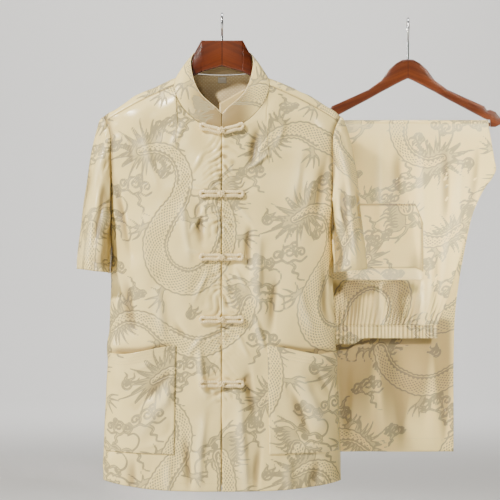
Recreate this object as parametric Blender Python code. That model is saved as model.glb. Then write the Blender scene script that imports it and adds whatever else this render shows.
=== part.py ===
# Tang suit: a short-sleeved jacket with a stand collar, two patch pockets and five knotted frogs on a
# wooden hanger, and its trousers, folded leg on leg over the bar of a second hanger behind it.
# The mesh is in metres, +Z is up and the front faces -Y. The origin is where the jacket hanger's hook
# rests on a rod. The sizes below are in millimetres.

import bpy
import bmesh
import numpy as np
from math import pi

MM = 0.001

# Walls and the gaps between pieces
CLOTH = 1.6
COLLAR_WALL = 2.0
TROUSER_CLOTH = 1.0
SEAM = 0.3
COLLAR_SEAM = 0.5

# Jacket body
NECK_X = 89.0
NECK_Z = -118.0
NECK_TOP_Z = -93.0
TIP_X = 227.0
TIP_Z = -192.0
SHOULDER_CROWN = 4.6
CHEST_HALF = 206.0
HEM_HALF = 221.0
HEM_Z = -882.0
HEM_RISE = 18.0
SECTION_POWER = 2.6
TOP_SHARE = 0.0876
ARM_SHARE = 0.358
ARM_FLARE = 32.0
ARM_TIP_X = 222.0
SHOULDER_SEAM_SHARE = 0.0188
NECK_FRONT_Z = -217.0
NECK_POWER = 1.72
BACK_NECK_V = -0.062
DEPTHS = dict(front=(36.0, 26.0), back=(34.0, 28.0))

# Largest folds of the jacket: where each starts and ends, its half width and its height
JACKET_FOLDS = (
    dict(face="front", top_x=46, low_x=82, top_z=-390, low_z=-602, width=19, height=6.0),
    dict(face="front", top_x=-62, low_x=-78, top_z=-290, low_z=-650, width=24, height=4.0),
    dict(face="front", top_x=128, low_x=118, top_z=-300, low_z=-640, width=26, height=4.0),
    dict(face="front", top_x=-150, low_x=-138, top_z=-250, low_z=-600, width=24, height=4.5),
    dict(face="front", top_x=34, low_x=42, top_z=-600, low_z=-1000, width=22, height=4.5),
    dict(face="front", top_x=-38, low_x=-46, top_z=-620, low_z=-1000, width=22, height=4.0),
    dict(face="back", top_x=-92, low_x=-122, top_z=-300, low_z=-1050, width=36, height=8.0),
    dict(face="back", top_x=6, low_x=-8, top_z=-420, low_z=-1080, width=34, height=6.0),
    dict(face="back", top_x=96, low_x=126, top_z=-320, low_z=-1040, width=38, height=7.5),
)

# Sleeves: the cuff's middle, half sizes and tilt, and how far the sleeve swells on its way
CUFF = dict(x=241.0, z=-477.0, half_x=29.0, half_y=75.0, tilt=4.0, skew=15.0, power=2.4)
SLEEVE_SWELL = dict(out=28.0, front=15.0)
SLEEVE_ROWS = (0, 0.05, 0.13, 0.26, 0.42, 0.60, 0.80, 1.0)
UNDERARM_GAP = 0.7

# Collar: its upper edge from the centre front (share 0) over the shoulder seam (1) to the back (2)
COLLAR_TOP = (
    dict(share=0.00, x=0.8, y=-41.0, z=-187.0),
    dict(share=0.14, x=9.0, y=-40.5, z=-178.0),
    dict(share=0.29, x=20.5, y=-38.5, z=-168.0),
    dict(share=0.43, x=33.0, y=-35.5, z=-157.0),
    dict(share=0.57, x=43.5, y=-31.5, z=-144.0),
    dict(share=0.71, x=51.5, y=-26.0, z=-127.0),
    dict(share=0.86, x=56.5, y=-18.0, z=-108.0),
    dict(share=1.00, x=59.0, y=-9.0, z=-91.0),
    dict(share=1.20, x=56.0, y=4.0, z=-74.5),
    dict(share=1.50, x=44.0, y=19.0, z=-70.0),
    dict(share=2.00, x=0.0, y=28.0, z=-68.0),
)
COLLAR_BULGE = 1.6
COLLAR_ROWS = (0, 0.3, 0.65, 1.0)
NECK_MIDDLE = (0.0, -10.0, -110.0)

# Underlap behind the opening, and the bare label inside the back neck
UNDERLAP = dict(left=-5.0, right=42.0, left_top=-166.0, right_top=-137.0, low=-868.0, wall=1.2)
UNDERLAP_SINK = dict(deep=8.0, from_z=-219.0, over=60.0)
LABEL = dict(half_x=8.0, top_v=-0.066, low_v=-0.084, wall=0.8)

# Patch pockets of the jacket
POCKET = dict(top_inner=-614.0, top_outer=-629.0, low_inner=-814.0, low_outer=-809.0, gape=9.0, droop=6.0)
POCKET_ROWS = (0, 0.06, 0.16, 0.32, 0.55, 0.78, 1.0)
GAPE_SHARE = 0.4

# Frogs: height, the rise of each strip outwards and the strips' reach from the knot
FROGS = (
    dict(z=-218.0, rise=0.26),
    dict(z=-335.0, rise=0.0),
    dict(z=-451.0, rise=0.0),
    dict(z=-566.0, rise=0.0),
    dict(z=-684.0, rise=0.0),
)
FROG_PATH = (
    dict(reach=7.4, height=3.7),
    dict(reach=29.0, height=3.7),
    dict(reach=33.0, height=5.4),
    dict(reach=37.5, height=4.0),
    dict(reach=39.0, height=0.0),
)
FROG_CORD = 3.0
KNOT = dict(half_x=7.0, half_y=5.0, half_z=5.6)

# Jacket hanger: half of its outline from the crown to the end of the arm
JACKET_HANGER = (
    dict(x=0, top=-48.0, low=-96.0, half_y=6.5),
    dict(x=38.5, top=-48.0, low=-107.0, half_y=6.5),
    dict(x=53.5, top=-76.0, low=-115.0, half_y=6.5),
    dict(x=55, top=-88.0, low=-116.5, half_y=6.2),
    dict(x=60, top=-98.5, low=-120.0, half_y=6.0),
    dict(x=68, top=-108.0, low=-126.0, half_y=6.0),
    dict(x=78, top=-117.5, low=-133.0, half_y=5.5),
    dict(x=86, top=-123.0, low=-139.0, half_y=5.0),
)
ARM_STATIONS = (100, 120, 140, 160, 180, 200, 207)
ARM_HEIGHTS = (21, 20, 19, 18, 17, 14, 8)
ARM_HALF_Y = 5.0
ARM_END = dict(drop=3.0, half_y=3.0)
ARM_DROP = 4.2

# Hooks: radius of the wire and of the thickest rod, the stem below the rod's axis and the arc's turns
WIRE = 2.0
ROD = 15.0
HOOK_STEM = (dict(y=0.0, below=28.0), dict(y=0.0, below=23.0), dict(y=-5.0, below=19.0))
HOOK_TURNS = (228, 200, 175, 150, 125, 100, 80, 60, 35, 10, -15, -35)

# Trousers over the bar: edges of the front flap from the waist up, and of the back flap down to the hem
FRONT_FLAP = (
    dict(z=-580.3, left=191.0, right=407.0, gather=2.4),
    dict(z=-563.0, left=191.0, right=414.7, gather=2.2),
    dict(z=-535.0, left=190.0, right=425.5, gather=1.2),
    dict(z=-495.0, left=189.0, right=437.5, gather=0.2),
    dict(z=-449.0, left=190.0, right=450.8, gather=0.0),
    dict(z=-400.0, left=191.0, right=465.0, gather=0.0),
    dict(z=-350.0, left=193.0, right=482.0, gather=0.0),
    dict(z=-318.0, left=195.0, right=499.0, gather=0.0),
    dict(z=-301.0, left=196.0, right=511.6, gather=0.0),
    dict(z=-286.0, left=197.0, right=518.2, gather=0.0),
    dict(z=-267.0, left=198.0, right=515.4, gather=0.0),
    dict(z=-221.0, left=201.0, right=507.8, gather=0.0),
)
BACK_FLAP = (
    dict(z=-221.0, left=202.0, right=501.0),
    dict(z=-300.0, left=203.0, right=489.0),
    dict(z=-400.0, left=204.0, right=468.0),
    dict(z=-495.0, left=204.0, right=450.0),
    dict(z=-563.0, left=204.0, right=442.0),
    dict(z=-650.0, left=204.0, right=439.5),
    dict(z=-740.0, left=204.0, right=439.4),
    dict(z=-821.6, left=204.0, right=439.4),
)
BAR = dict(x=352.0, y=105.0, z=-199.5, radius=4.0, half=155.6)
FOLD_STEPS = 5
FOLD_EDGES = (202.0, 504.0)
FLAP_COLUMNS = 12
LAYERS = dict(inner=(4.3, 5.3), folded=(5.65, 6.75), outer=(7.3, 8.3))
FOLDED_INSET = 3.0
GROOVE = 2.5
FLAP_WAVES = (
    dict(face="front", share=0.12, width=0.12, height=-1.5),
    dict(face="front", share=0.45, width=0.13, height=3.5),
    dict(face="front", share=0.80, width=0.12, height=-4.0),
    dict(face="back", share=0.25, width=0.14, height=4.0),
    dict(face="back", share=0.62, width=0.15, height=-3.5),
    dict(face="back", share=0.92, width=0.10, height=3.0),
)
FLAP_LEAN = dict(front=-7.0, back=3.0)
WAISTBAND = dict(top=-580.6, low=-605.0, ruches=30, ruche=1.5, outer=(6.9, 8.9), inner=(4.2, 6.2), peek=11.5)
TROUSER_POCKET = dict(left=204.0, right=380.0, open_z=-495.0, low_z=-349.7, corner_x=365.0, corner_z=-387.0)
TROUSER_GAPE = dict(height=2.5, from_share=0.75)

# Trouser hanger: half of its outline from the crown to the end of the arm, x from its own middle
TROUSER_HANGER = (
    dict(x=0, top=-75.7, low=-112.0, half_y=6.0),
    dict(x=10, top=-76.5, low=-116.5, half_y=6.0),
    dict(x=22.6, top=-83.3, low=-123.0, half_y=6.0),
    dict(x=35.7, top=-95.2, low=-130.0, half_y=6.0),
    dict(x=50.9, top=-116.0, low=-138.0, half_y=6.0),
    dict(x=74.8, top=-133.4, low=-151.5, half_y=6.0),
    dict(x=110, top=-149.5, low=-170.0, half_y=6.0),
    dict(x=145.0, top=-165.0, low=-188.5, half_y=6.0),
    dict(x=149.5, top=-172.7, low=-190.4, half_y=6.0),
    dict(x=155.9, top=-171.6, low=-190.6, half_y=6.0),
    dict(x=156.1, top=-171.5, low=-204.4, half_y=6.0),
    dict(x=166.4, top=-175.9, low=-204.4, half_y=6.0),
    dict(x=175.0, top=-186.8, low=-200.0, half_y=5.6),
    dict(x=179.0, top=-191.5, low=-198.0, half_y=4.0),
)
CHAMFER = 1.6

# Colours, roughness and metallic value of each material
FINISHES = dict(
    jacquard=((0.74, 0.66, 0.46, 1.0), 0.42, 0.0),
    satin_cord=((0.80, 0.76, 0.62, 1.0), 0.35, 0.0),
    reddish_wood=((0.20, 0.045, 0.012, 1.0), 0.25, 0.0),
    orange_wood=((0.24, 0.075, 0.025, 1.0), 0.45, 0.0),
    steel_wire=((0.62, 0.63, 0.65, 1.0), 0.20, 1.0),
    label_tape=((0.70, 0.68, 0.60, 1.0), 0.60, 0.0),
)


def smooth(t):
    # 0 below 0, 1 above 1 and an S curve between
    t = np.clip(t, 0.0, 1.0)
    return t * t * (3.0 - 2.0 * t)


def signed_power(value, power):
    return np.sign(value) * np.abs(value) ** power


def column(table, name):
    return np.array([row[name] for row in table], dtype=float)


def through_rows(at, keys, values):
    # a smooth curve through the rows of a table, cubic between two rows
    slopes = np.gradient(values, keys)
    at = np.clip(at, keys[0], keys[-1])
    i = np.clip(np.searchsorted(keys, at) - 1, 0, len(keys) - 2)
    gap = keys[i + 1] - keys[i]
    t = (at - keys[i]) / gap
    rise = values[i] * (1 + 2 * t) * (1 - t) ** 2 + values[i + 1] * t * t * (3 - 2 * t)
    return rise + gap * (slopes[i] * t * (1 - t) ** 2 + slopes[i + 1] * t * t * (t - 1))


# The jacket's body. a runs from the centre (0) to the side (1 right, -1 left). v runs from the shoulder
# ridge (0) to the hem, 1 at the front and -1 at the back.

TOP_V = TOP_SHARE * pi / 2 / (1 - TOP_SHARE + TOP_SHARE * pi / 2)
SIDE_POWER = 2.0 / SECTION_POWER


def ridge_z(x):
    x = np.abs(x)
    share = (x - NECK_X) / (TIP_X - NECK_X)
    shoulder = NECK_Z + (TIP_Z - NECK_Z) * share + SHOULDER_CROWN * np.sin(pi * np.clip(share, 0, 1))
    neck = NECK_TOP_Z + (NECK_Z - NECK_TOP_Z) * (np.minimum(x, NECK_X) / NECK_X) ** 2.5
    return np.where(x < NECK_X, neck, shoulder)


def hem_z(x):
    return HEM_Z + HEM_RISE * (np.abs(x) / HEM_HALF) ** 3


def fall(v):
    # share of the way down: a quarter ellipse over the shoulder, then straight
    v = np.abs(v)
    over = TOP_SHARE * (1 - np.cos(pi / 2 * np.minimum(v / TOP_V, 1)))
    return over + (1 - TOP_SHARE) * np.maximum(v - TOP_V, 0) / (1 - TOP_V)


def fall_to_v(share):
    over = TOP_V * 2 / pi * np.arccos(np.clip(1 - share / TOP_SHARE, 0, 1))
    straight = TOP_V + (share - TOP_SHARE) * (1 - TOP_V) / (1 - TOP_SHARE)
    return np.where(share < TOP_SHARE, over, straight)


def half_width(share):
    low = CHEST_HALF + (HEM_HALF - CHEST_HALF) * smooth((share - 0.40) / 0.60)
    return low + ARM_FLARE * smooth((ARM_SHARE - share) / ARM_SHARE)


def depth(v):
    front, back = DEPTHS["front"], DEPTHS["back"]
    turn = np.sin(pi / 2 * np.minimum(np.abs(v) / TOP_V, 1))
    lower = smooth(fall(v) / 0.45)
    return np.where(v < 0, back[0] * turn + back[1] * lower, front[0] * turn + front[1] * lower)


def fold_height(x, z, v):
    height = np.zeros_like(x)
    for fold in JACKET_FOLDS:
        t = (z - fold["top_z"]) / (fold["low_z"] - fold["top_z"])
        middle = fold["top_x"] + (fold["low_x"] - fold["top_x"]) * t
        swell = np.sin(pi * np.clip(t, 0, 1)) ** 1.5
        on_face = (v >= 0) if fold["face"] == "front" else (v < 0)
        ridge = np.exp(-(((x - middle) / fold["width"]) ** 2))
        height = height + np.where(on_face, fold["height"] * swell * ridge, 0.0)
    return height


def body(a, v):
    a, v = np.broadcast_arrays(np.asarray(a, float), np.asarray(v, float))
    share = fall(v)
    x = half_width(share) * signed_power(np.sin(a * pi / 2), SIDE_POWER)
    across = signed_power(np.cos(a * pi / 2), SIDE_POWER)
    z = ridge_z(x) + (hem_z(x) - ridge_z(x)) * share
    out = depth(v) * across + fold_height(x, z, v) * smooth(share / 0.05) * smooth(across / 0.6)
    return np.stack([x, np.where(v < 0, out, -out), z], axis=-1)


def body_tangents(a, v, step=1e-4):
    # outward normal, the direction of growing a and the direction of growing v
    along_a = body(a + step, v) - body(a - step, v)
    along_v = body(a, v + step) - body(a, v - step)
    along_a /= np.linalg.norm(along_a, axis=-1, keepdims=True)
    along_v /= np.linalg.norm(along_v, axis=-1, keepdims=True)
    normal = np.cross(along_v, along_a)
    normal /= np.linalg.norm(normal, axis=-1, keepdims=True)
    return normal, along_a, along_v


def body_moved(a, v, out):
    normal = body_tangents(a, v)[0]
    return body(a, v) + normal * np.asarray(out)[..., None]


def place_on_front(x, z):
    # a and v of the point of the front that is seen at x and z
    share = (ridge_z(x) - z) / (ridge_z(x) - hem_z(x))
    v = fall_to_v(share)
    ratio = np.clip(np.abs(x) / half_width(fall(v)), 0, 1)
    return np.sign(x) * 2 / pi * np.arcsin(ratio ** (1 / SIDE_POWER)), v


def arm_side(v):
    # a of the body's edge: the side seam, and above it the armhole
    share = fall(v)
    edge_x = CHEST_HALF + (ARM_TIP_X - CHEST_HALF) * np.maximum(0, 1 - share / 0.08) ** 1.5
    ratio = np.clip(edge_x / half_width(share), 0, 1)
    return np.where(share >= ARM_SHARE, 1.0, 2 / pi * np.arcsin(ratio ** (1 / SIDE_POWER)))


UNDERARM_V = float(fall_to_v(np.array(ARM_SHARE)))
SEAM_V = float(fall_to_v(np.array(SHOULDER_SEAM_SHARE)))
SEAM_V_GAP = 0.0004
SIDE_A_GAP = 0.0005
SIDE_ROWS = np.linspace(1.0, UNDERARM_V, 9)
FRONT_ARM_ROWS = np.concatenate([np.linspace(UNDERARM_V, TOP_V, 6)[1:], np.linspace(TOP_V, SEAM_V, 4)[1:]])
BACK_ARM_ROWS = -np.concatenate([np.linspace(UNDERARM_V, TOP_V, 6)[1:], np.linspace(TOP_V, 0, 5)[1:],
                                 [-SEAM_V / 2, -SEAM_V]])
NECK_TURNS = np.radians(np.linspace(90, 0, 8))
SHOULDER_COLUMNS = 6


def front_neckline():
    # a and v of the front neckline from the centre front to the shoulder seam
    seam_z = ridge_z(NECK_X) + (hem_z(NECK_X) - ridge_z(NECK_X)) * SHOULDER_SEAM_SHARE
    x = np.maximum(NECK_X * np.cos(NECK_TURNS).clip(0) ** (2 / NECK_POWER), SEAM)
    z = seam_z + (NECK_FRONT_Z - seam_z) * np.sin(NECK_TURNS) ** (2 / NECK_POWER)
    return place_on_front(x, z)


def back_neckline():
    # a and v of the back neckline from the centre back to the shoulder seam
    x = NECK_X * np.cos(NECK_TURNS).clip(0) ** 0.9
    v = SEAM_V + (BACK_NECK_V - SEAM_V) * np.sin(NECK_TURNS).clip(0) ** 0.9
    ratio = x / half_width(fall(v))
    return 2 / pi * np.arcsin(ratio ** (1 / SIDE_POWER)), v


def panel_columns(neck_a, neck_v):
    # each column's share of the way to the side edge, and v at its upper end
    shares = neck_a / arm_side(neck_v)
    outer = np.linspace(shares[-1], 1.0, SHOULDER_COLUMNS + 1)[1:]
    return np.concatenate([shares, outer]), np.concatenate([neck_v, np.full(len(outer), neck_v[-1])])


def front_grid(side):
    shares, top_v = panel_columns(*front_neckline())
    rows = np.concatenate([SIDE_ROWS, FRONT_ARM_ROWS])
    way = (1 - rows) / (1 - SEAM_V)
    v = 1 - way[:, None] * (1 - top_v[None, :] - SEAM_V_GAP)
    a = shares[None, :] * arm_side(v) * (1 - SIDE_A_GAP)
    return side * a, v


def back_grid():
    half_shares, half_top = panel_columns(*back_neckline())
    shares = np.concatenate([-half_shares[:0:-1], half_shares])
    top_v = np.concatenate([half_top[:0:-1], half_top])
    rows = np.concatenate([-SIDE_ROWS, BACK_ARM_ROWS])
    way = (1 + rows) / (1 + SEAM_V)
    v = -1 + way[:, None] * (1 + top_v[None, :] - SEAM_V_GAP)
    a = shares[None, :] * arm_side(v) * (1 - SIDE_A_GAP)
    return a, v


# Building blocks


def grid_quads(rows, columns, start, wrap):
    i = np.arange(rows - 1)[:, None]
    j = np.arange(columns if wrap else columns - 1)[None, :]
    k = (j + 1) % columns
    quads = np.stack(np.broadcast_arrays(i * columns + j, i * columns + k, (i + 1) * columns + k,
                                         (i + 1) * columns + j), axis=-1)
    return quads.reshape(-1, 4) + start


def border(rows, columns, wrap):
    # the grid's rim as closed loops of point numbers
    if wrap:
        return [np.arange(columns), (rows - 1) * columns + np.arange(columns)[::-1]]
    low = np.arange(columns)
    right = np.arange(1, rows) * columns + columns - 1
    top = (rows - 1) * columns + np.arange(columns - 2, -1, -1)
    left = np.arange(rows - 2, 0, -1) * columns
    return [np.concatenate([low, right, top, left])]


def turned(face):
    # the same face seen from its other side, split along the same diagonal
    return [face[0], *face[:0:-1]]


def add_object(name, points, faces, material):
    mesh = bpy.data.meshes.new(name)
    faces = [[int(corner) for corner in face] for face in faces]
    mesh.from_pydata((points * MM).tolist(), [], faces)
    shell = bmesh.new()
    shell.from_mesh(mesh)
    inside_out = shell.calc_volume(signed=True) < 0
    shell.free()
    if inside_out:
        mesh.clear_geometry()
        mesh.from_pydata((points * MM).tolist(), [], [turned(face) for face in faces])
    mesh.shade_smooth()
    mesh.set_sharp_from_angle(angle=0.6)
    mesh.materials.append(material)
    piece = bpy.data.objects.new(name, mesh)
    suit.objects.link(piece)
    return piece


def wall(name, outer, inner, material, wrap=False, groove=None):
    # one closed solid between two grids of points with rows and columns that match; a groove is the
    # rim's middle line, which lies further in, so that the edge looks like two layers
    rows, columns = outer.shape[:2]
    count = rows * columns
    points = [outer.reshape(-1, 3), inner.reshape(-1, 3)]
    faces = [grid_quads(rows, columns, 0, wrap), grid_quads(rows, columns, count, wrap)[:, [0, 3, 2, 1]]]
    extra = 2 * count
    for loop in border(rows, columns, wrap):
        after = np.roll(loop, -1)
        if groove is None:
            faces.append(np.stack([loop, loop + count, after + count, after], axis=-1))
            continue
        middle = extra + np.arange(len(loop))
        points.append(groove.reshape(-1, 3)[loop])
        faces.append(np.stack([loop, middle, np.roll(middle, -1), after], axis=-1))
        faces.append(np.stack([middle, loop + count, after + count, np.roll(middle, -1)], axis=-1))
        extra += len(loop)
    return add_object(name, np.concatenate(points), np.concatenate(faces), material)


def tube(name, points, radius, material, sides=0):
    curve = bpy.data.curves.new(name, "CURVE")
    curve.dimensions = "3D"
    curve.bevel_depth = radius * MM
    curve.bevel_resolution = sides
    curve.use_fill_caps = True
    curve.render_resolution_u = 0
    line = curve.splines.new("POLY")
    line.points.add(len(points) - 1)
    for point, place in zip(line.points, points):
        point.co = (*(np.asarray(place) * MM), 1.0)
    curve.materials.append(material)
    piece = bpy.data.objects.new(name, curve)
    suit.objects.link(piece)
    return piece


def hanger_loft(name, table, middle, material):
    # chamfered oblong sections from one end of the hanger over its crown to the other end
    rows = [dict(row, x=-row["x"]) for row in table[:0:-1]] + list(table)
    sections = []
    for row in rows:
        cut = min(CHAMFER, 0.3 * row["half_y"])
        y, top, low = row["half_y"], row["top"], row["low"]
        ring = [(-y + cut, top), (y - cut, top), (y, top - cut), (y, low + cut),
                (y - cut, low), (-y + cut, low), (-y, low + cut), (-y, top - cut)]
        sections.append([(middle[0] + row["x"], middle[1] + dy, z) for dy, z in ring])
    points = np.array(sections)
    count = points.shape[1]
    faces = [list(q) for q in grid_quads(len(rows), count, 0, True)]
    faces.append(list(range(count))[::-1])
    faces.append(list(range((len(rows) - 1) * count, len(rows) * count)))
    return add_object(name, points.reshape(-1, 3), faces, material)


# Pieces of the jacket


def make_fronts(cloth):
    for side, name in ((-1, "front_left"), (1, "front_right")):
        a, v = front_grid(side)
        wall(name, body(a, v), body_moved(a, v, np.full(a.shape, -CLOTH)), cloth)


def make_back(cloth):
    a, v = back_grid()
    wall("back_panel", body(a, v), body_moved(a, v, np.full(a.shape, -CLOTH)), cloth)


def clear_of_edge(points, edge, away, gap):
    # pushes points that are too near the neighbour's edge away from it
    beyond = ((points - edge) * away).sum(-1)
    return points + away * np.maximum(gap - beyond, 0)[..., None]


def across_edge(edge, normal, target):
    # along the surface and square to its edge, towards the target
    across = np.cross(normal, np.gradient(edge, axis=0))
    across /= np.linalg.norm(across, axis=-1, keepdims=True)
    return across * np.sign(((target - edge) * across).sum(-1))[:, None]


def grid_normals(points, wrap):
    if wrap:
        across = np.roll(points, -1, axis=1) - np.roll(points, 1, axis=1)
    else:
        across = np.gradient(points, axis=1)
    normal = np.cross(across, np.gradient(points, axis=0))
    return normal / np.linalg.norm(normal, axis=-1, keepdims=True)


def armhole(side):
    # the armhole's edge from the underarm up the front, over the shoulder and down the back
    v = np.concatenate([[UNDERARM_V], FRONT_ARM_ROWS, BACK_ARM_ROWS[-2::-1]])
    a = side * arm_side(v)
    normal, along_a, _ = body_tangents(a, v)
    return body(a, v), along_a * side


def make_sleeve(side, name, cloth):
    edge, away = armhole(side)
    steps = np.linalg.norm(np.diff(np.vstack([edge, edge[:1]]), axis=0), axis=1)
    turn = np.concatenate([[0], np.cumsum(steps[:-1])]) / steps.sum() * 2 * pi
    low = np.clip(np.cos(turn), 0, 1) ** 2
    start = edge + away * SEAM + np.stack([side * UNDERARM_GAP * low, 0 * low, 0 * low], axis=-1)
    power = 2 / CUFF["power"]
    inward = signed_power(np.cos(turn), power)
    forward = signed_power(np.sin(turn), power)
    x = CUFF["x"] - CUFF["half_x"] * inward - CUFF["skew"] * np.abs(forward) ** 1.5
    cuff = np.stack([side * x, -CUFF["half_y"] * forward, CUFF["z"] - CUFF["tilt"] * np.cos(turn)], axis=-1)
    way = np.array(SLEEVE_ROWS)[:, None]
    points = start[None] + (cuff - start)[None] * way[..., None]
    swell = np.sqrt(way) * (1 - way)
    points[..., 0] += side * SLEEVE_SWELL["out"] * swell * np.sin(turn / 2) ** 4
    points[..., 1] -= SLEEVE_SWELL["front"] * swell * np.sin(turn)
    normal = grid_normals(points, True)
    if (normal[4, :, 0] * (points[4, :, 0] - points[4, :, 0].mean())).sum() < 0:
        normal = -normal
    inner = points - normal * CLOTH
    inner[0] = clear_of_edge(inner[0], edge, away, SEAM)
    return wall(name, points, inner, cloth, wrap=True)


def neck_ring():
    # the whole neckline from the left end at the centre front round the back to the right end
    front_a, front_v = front_neckline()
    back_a, back_v = back_neckline()
    front_share = 1 - np.degrees(NECK_TURNS) / 90
    back_share = 1 + np.degrees(NECK_TURNS) / 90
    a = np.concatenate([front_a, back_a[-2::-1]])
    v = np.concatenate([front_v, back_v[-2::-1]])
    share = np.concatenate([front_share, back_share[-2::-1]])
    return (np.concatenate([-a, a[-2::-1]]), np.concatenate([v, v[-2::-1]]),
            np.concatenate([share, share[-2::-1]]))


def make_collar(cloth):
    a, v, share = neck_ring()
    side = np.where(np.arange(len(a)) < len(a) // 2, -1.0, 1.0)
    edge = body(a, v)
    into_neck = across_edge(edge, body_tangents(a, v)[0], np.array(NECK_MIDDLE))
    start = edge + into_neck * COLLAR_SEAM
    keys = column(COLLAR_TOP, "share")
    top = np.stack([through_rows(share, keys, column(COLLAR_TOP, c)) for c in "xyz"], axis=-1)
    top[:, 0] *= side
    way = np.array(COLLAR_ROWS)
    points = start[None] + (top - start)[None] * way[:, None, None]
    normal = grid_normals(points, False)
    if normal[2, 0, 1] > 0:
        normal = -normal
    points = points + normal * (COLLAR_BULGE * np.sin(pi * way))[:, None, None]
    inner = points - normal * COLLAR_WALL
    inner[0] = clear_of_edge(inner[0], edge, into_neck, COLLAR_SEAM)
    ends = [0, -1]
    inner[:, ends, 0] = points[:, ends, 0]
    return wall("collar", points, inner, cloth)


def make_underlap(cloth):
    u = UNDERLAP
    x = np.linspace(u["left"], u["right"], 4)
    top = u["left_top"] + (u["right_top"] - u["left_top"]) * (x - u["left"]) / (u["right"] - u["left"])
    way = np.concatenate([np.linspace(0, 0.14, 5), np.linspace(0.14, 1, 12)[1:]])[:, None]
    z = top[None] + (u["low"] - top[None]) * way
    a, v = place_on_front(np.broadcast_to(x, z.shape), z)
    sink = UNDERLAP_SINK
    inwards = CLOTH + 4 * SEAM + sink["deep"] * smooth((z - sink["from_z"]) / sink["over"])
    return wall("underlap", body_moved(a, v, -inwards), body_moved(a, v, -inwards - u["wall"]), cloth)


def make_label(tape):
    v = np.linspace(LABEL["top_v"], LABEL["low_v"], 3)[:, None]
    a = np.array([-1.0, 0.0, 1.0])[None]
    ratio = LABEL["half_x"] / half_width(fall(v))
    a = a * 2 / pi * np.arcsin(ratio ** (1 / SIDE_POWER))
    a, v = np.broadcast_arrays(a, v)
    near = np.full(a.shape, -CLOTH - 3 * SEAM)
    return wall("neck_label", body_moved(a, v, near), body_moved(a, v, near - LABEL["wall"]), tape)


def make_pocket(side, name, cloth):
    shares, _ = panel_columns(*front_neckline())
    shares = shares[4:-1]
    across = (shares - shares[0]) / (shares[-1] - shares[0])
    p = POCKET
    top = p["top_inner"] + (p["top_outer"] - p["top_inner"]) * across - p["droop"] * np.sin(pi * across) ** 2
    low = p["low_inner"] + (p["low_outer"] - p["low_inner"]) * across
    way = np.array(POCKET_ROWS)[:, None]
    z = top[None] + (low - top)[None] * way
    x = half_width(0.75) * np.sin(shares * pi / 2) ** SIDE_POWER
    _, v = place_on_front(np.broadcast_to(x, z.shape), z)
    a = np.broadcast_to(side * shares * (1 - SIDE_A_GAP), z.shape)
    gape = p["gape"] * np.sin(pi * across)[None] ** 2 * (1 - smooth(way / GAPE_SHARE))
    return wall(name, body_moved(a, v, SEAM + gape + CLOTH), body_moved(a, v, SEAM + gape), cloth)


def make_frog(number, frog, cord):
    for side, name in ((-1, "left"), (1, "right")):
        path = list(FROG_PATH) + [dict(row, height=-row["height"]) for row in FROG_PATH[-2::-1]]
        reach = column(path, "reach")
        x = side * reach
        z = frog["z"] + column(path, "height") + frog["rise"] * (reach - FROG_PATH[0]["reach"])
        a, v = place_on_front(x, z)
        points = body_moved(a, v, np.full(x.shape, FROG_CORD + 2 * SEAM))
        tube(f"frog_{number}_{name}", points, FROG_CORD, cord, 1)
    a, v = place_on_front(np.array(0.3), np.array(frog["z"]))
    middle = body_moved(a, v, np.array(KNOT["half_y"] + SEAM))
    bpy.ops.mesh.primitive_uv_sphere_add(segments=8, ring_count=6, radius=MM)
    knot = bpy.context.object
    knot.name = f"frog_{number}_knot"
    knot.data.name = knot.name
    for vertex in knot.data.vertices:
        vertex.co.x *= KNOT["half_x"]
        vertex.co.y *= KNOT["half_y"]
        vertex.co.z *= KNOT["half_z"]
    knot.location = (0.0, middle[1] * MM, middle[2] * MM)
    knot.data.shade_smooth()
    knot.data.materials.append(cord)
    for collection in list(knot.users_collection):
        collection.objects.unlink(knot)
    suit.objects.link(knot)


def make_hook(name, x, y, foot_z, steel):
    # a stem up from the crown, a bend to the front, over the rod and down behind it
    reach = ROD + WIRE
    stem = [(x, y, foot_z)] + [(x, y + row["y"], -ROD - row["below"]) for row in HOOK_STEM]
    arc = [(x, y + reach * np.cos(t), -ROD + reach * np.sin(t)) for t in np.radians(HOOK_TURNS)]
    return tube(name, stem + arc, WIRE, steel, 1)


def make_jacket_hanger(wood, steel):
    arm = [dict(x=x, top=float(ridge_z(x)) - ARM_DROP, low=float(ridge_z(x)) - ARM_DROP - height,
                half_y=ARM_HALF_Y)
           for x, height in zip(ARM_STATIONS, ARM_HEIGHTS)]
    arm[-1] = dict(arm[-1], top=arm[-1]["top"] - ARM_END["drop"], half_y=ARM_END["half_y"])
    hanger_loft("jacket_hanger_wood", list(JACKET_HANGER) + arm, (0.0, 0.0), wood)
    make_hook("jacket_hanger_hook", 0.0, 0.0, JACKET_HANGER[0]["top"] + SEAM, steel)


# Pieces of the trousers. Every layer is drawn at its own distance from the bar's axis.


def flap_wave(face, share, z):
    # how far a flap bends away from its plane: folds from the table, straight between the columns
    knots = np.linspace(0, 1, FLAP_COLUMNS + 1)
    bends = np.zeros_like(knots)
    for wave in FLAP_WAVES:
        if wave["face"] == face:
            bends += wave["height"] * np.exp(-(((knots - wave["share"]) / wave["width"]) ** 2))
    down = smooth((BAR["z"] - 15.0 - z) / 200.0)
    lean = FLAP_LEAN[face] * np.maximum(BAR["z"] - z, 0) / 400.0
    return np.interp(share, knots, bends) * down + lean


def flap_rows():
    # left edge, right edge, face and height or turn of every row from the waist over the bar to the hem
    over = [(*FOLD_EDGES, "over", turn) for turn in np.linspace(0, pi, FOLD_STEPS + 1)]
    front = [(row["left"], row["right"], "front", row["z"]) for row in FRONT_FLAP]
    back = [(row["left"], row["right"], "back", row["z"]) for row in BACK_FLAP]
    return front + over + back


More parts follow.
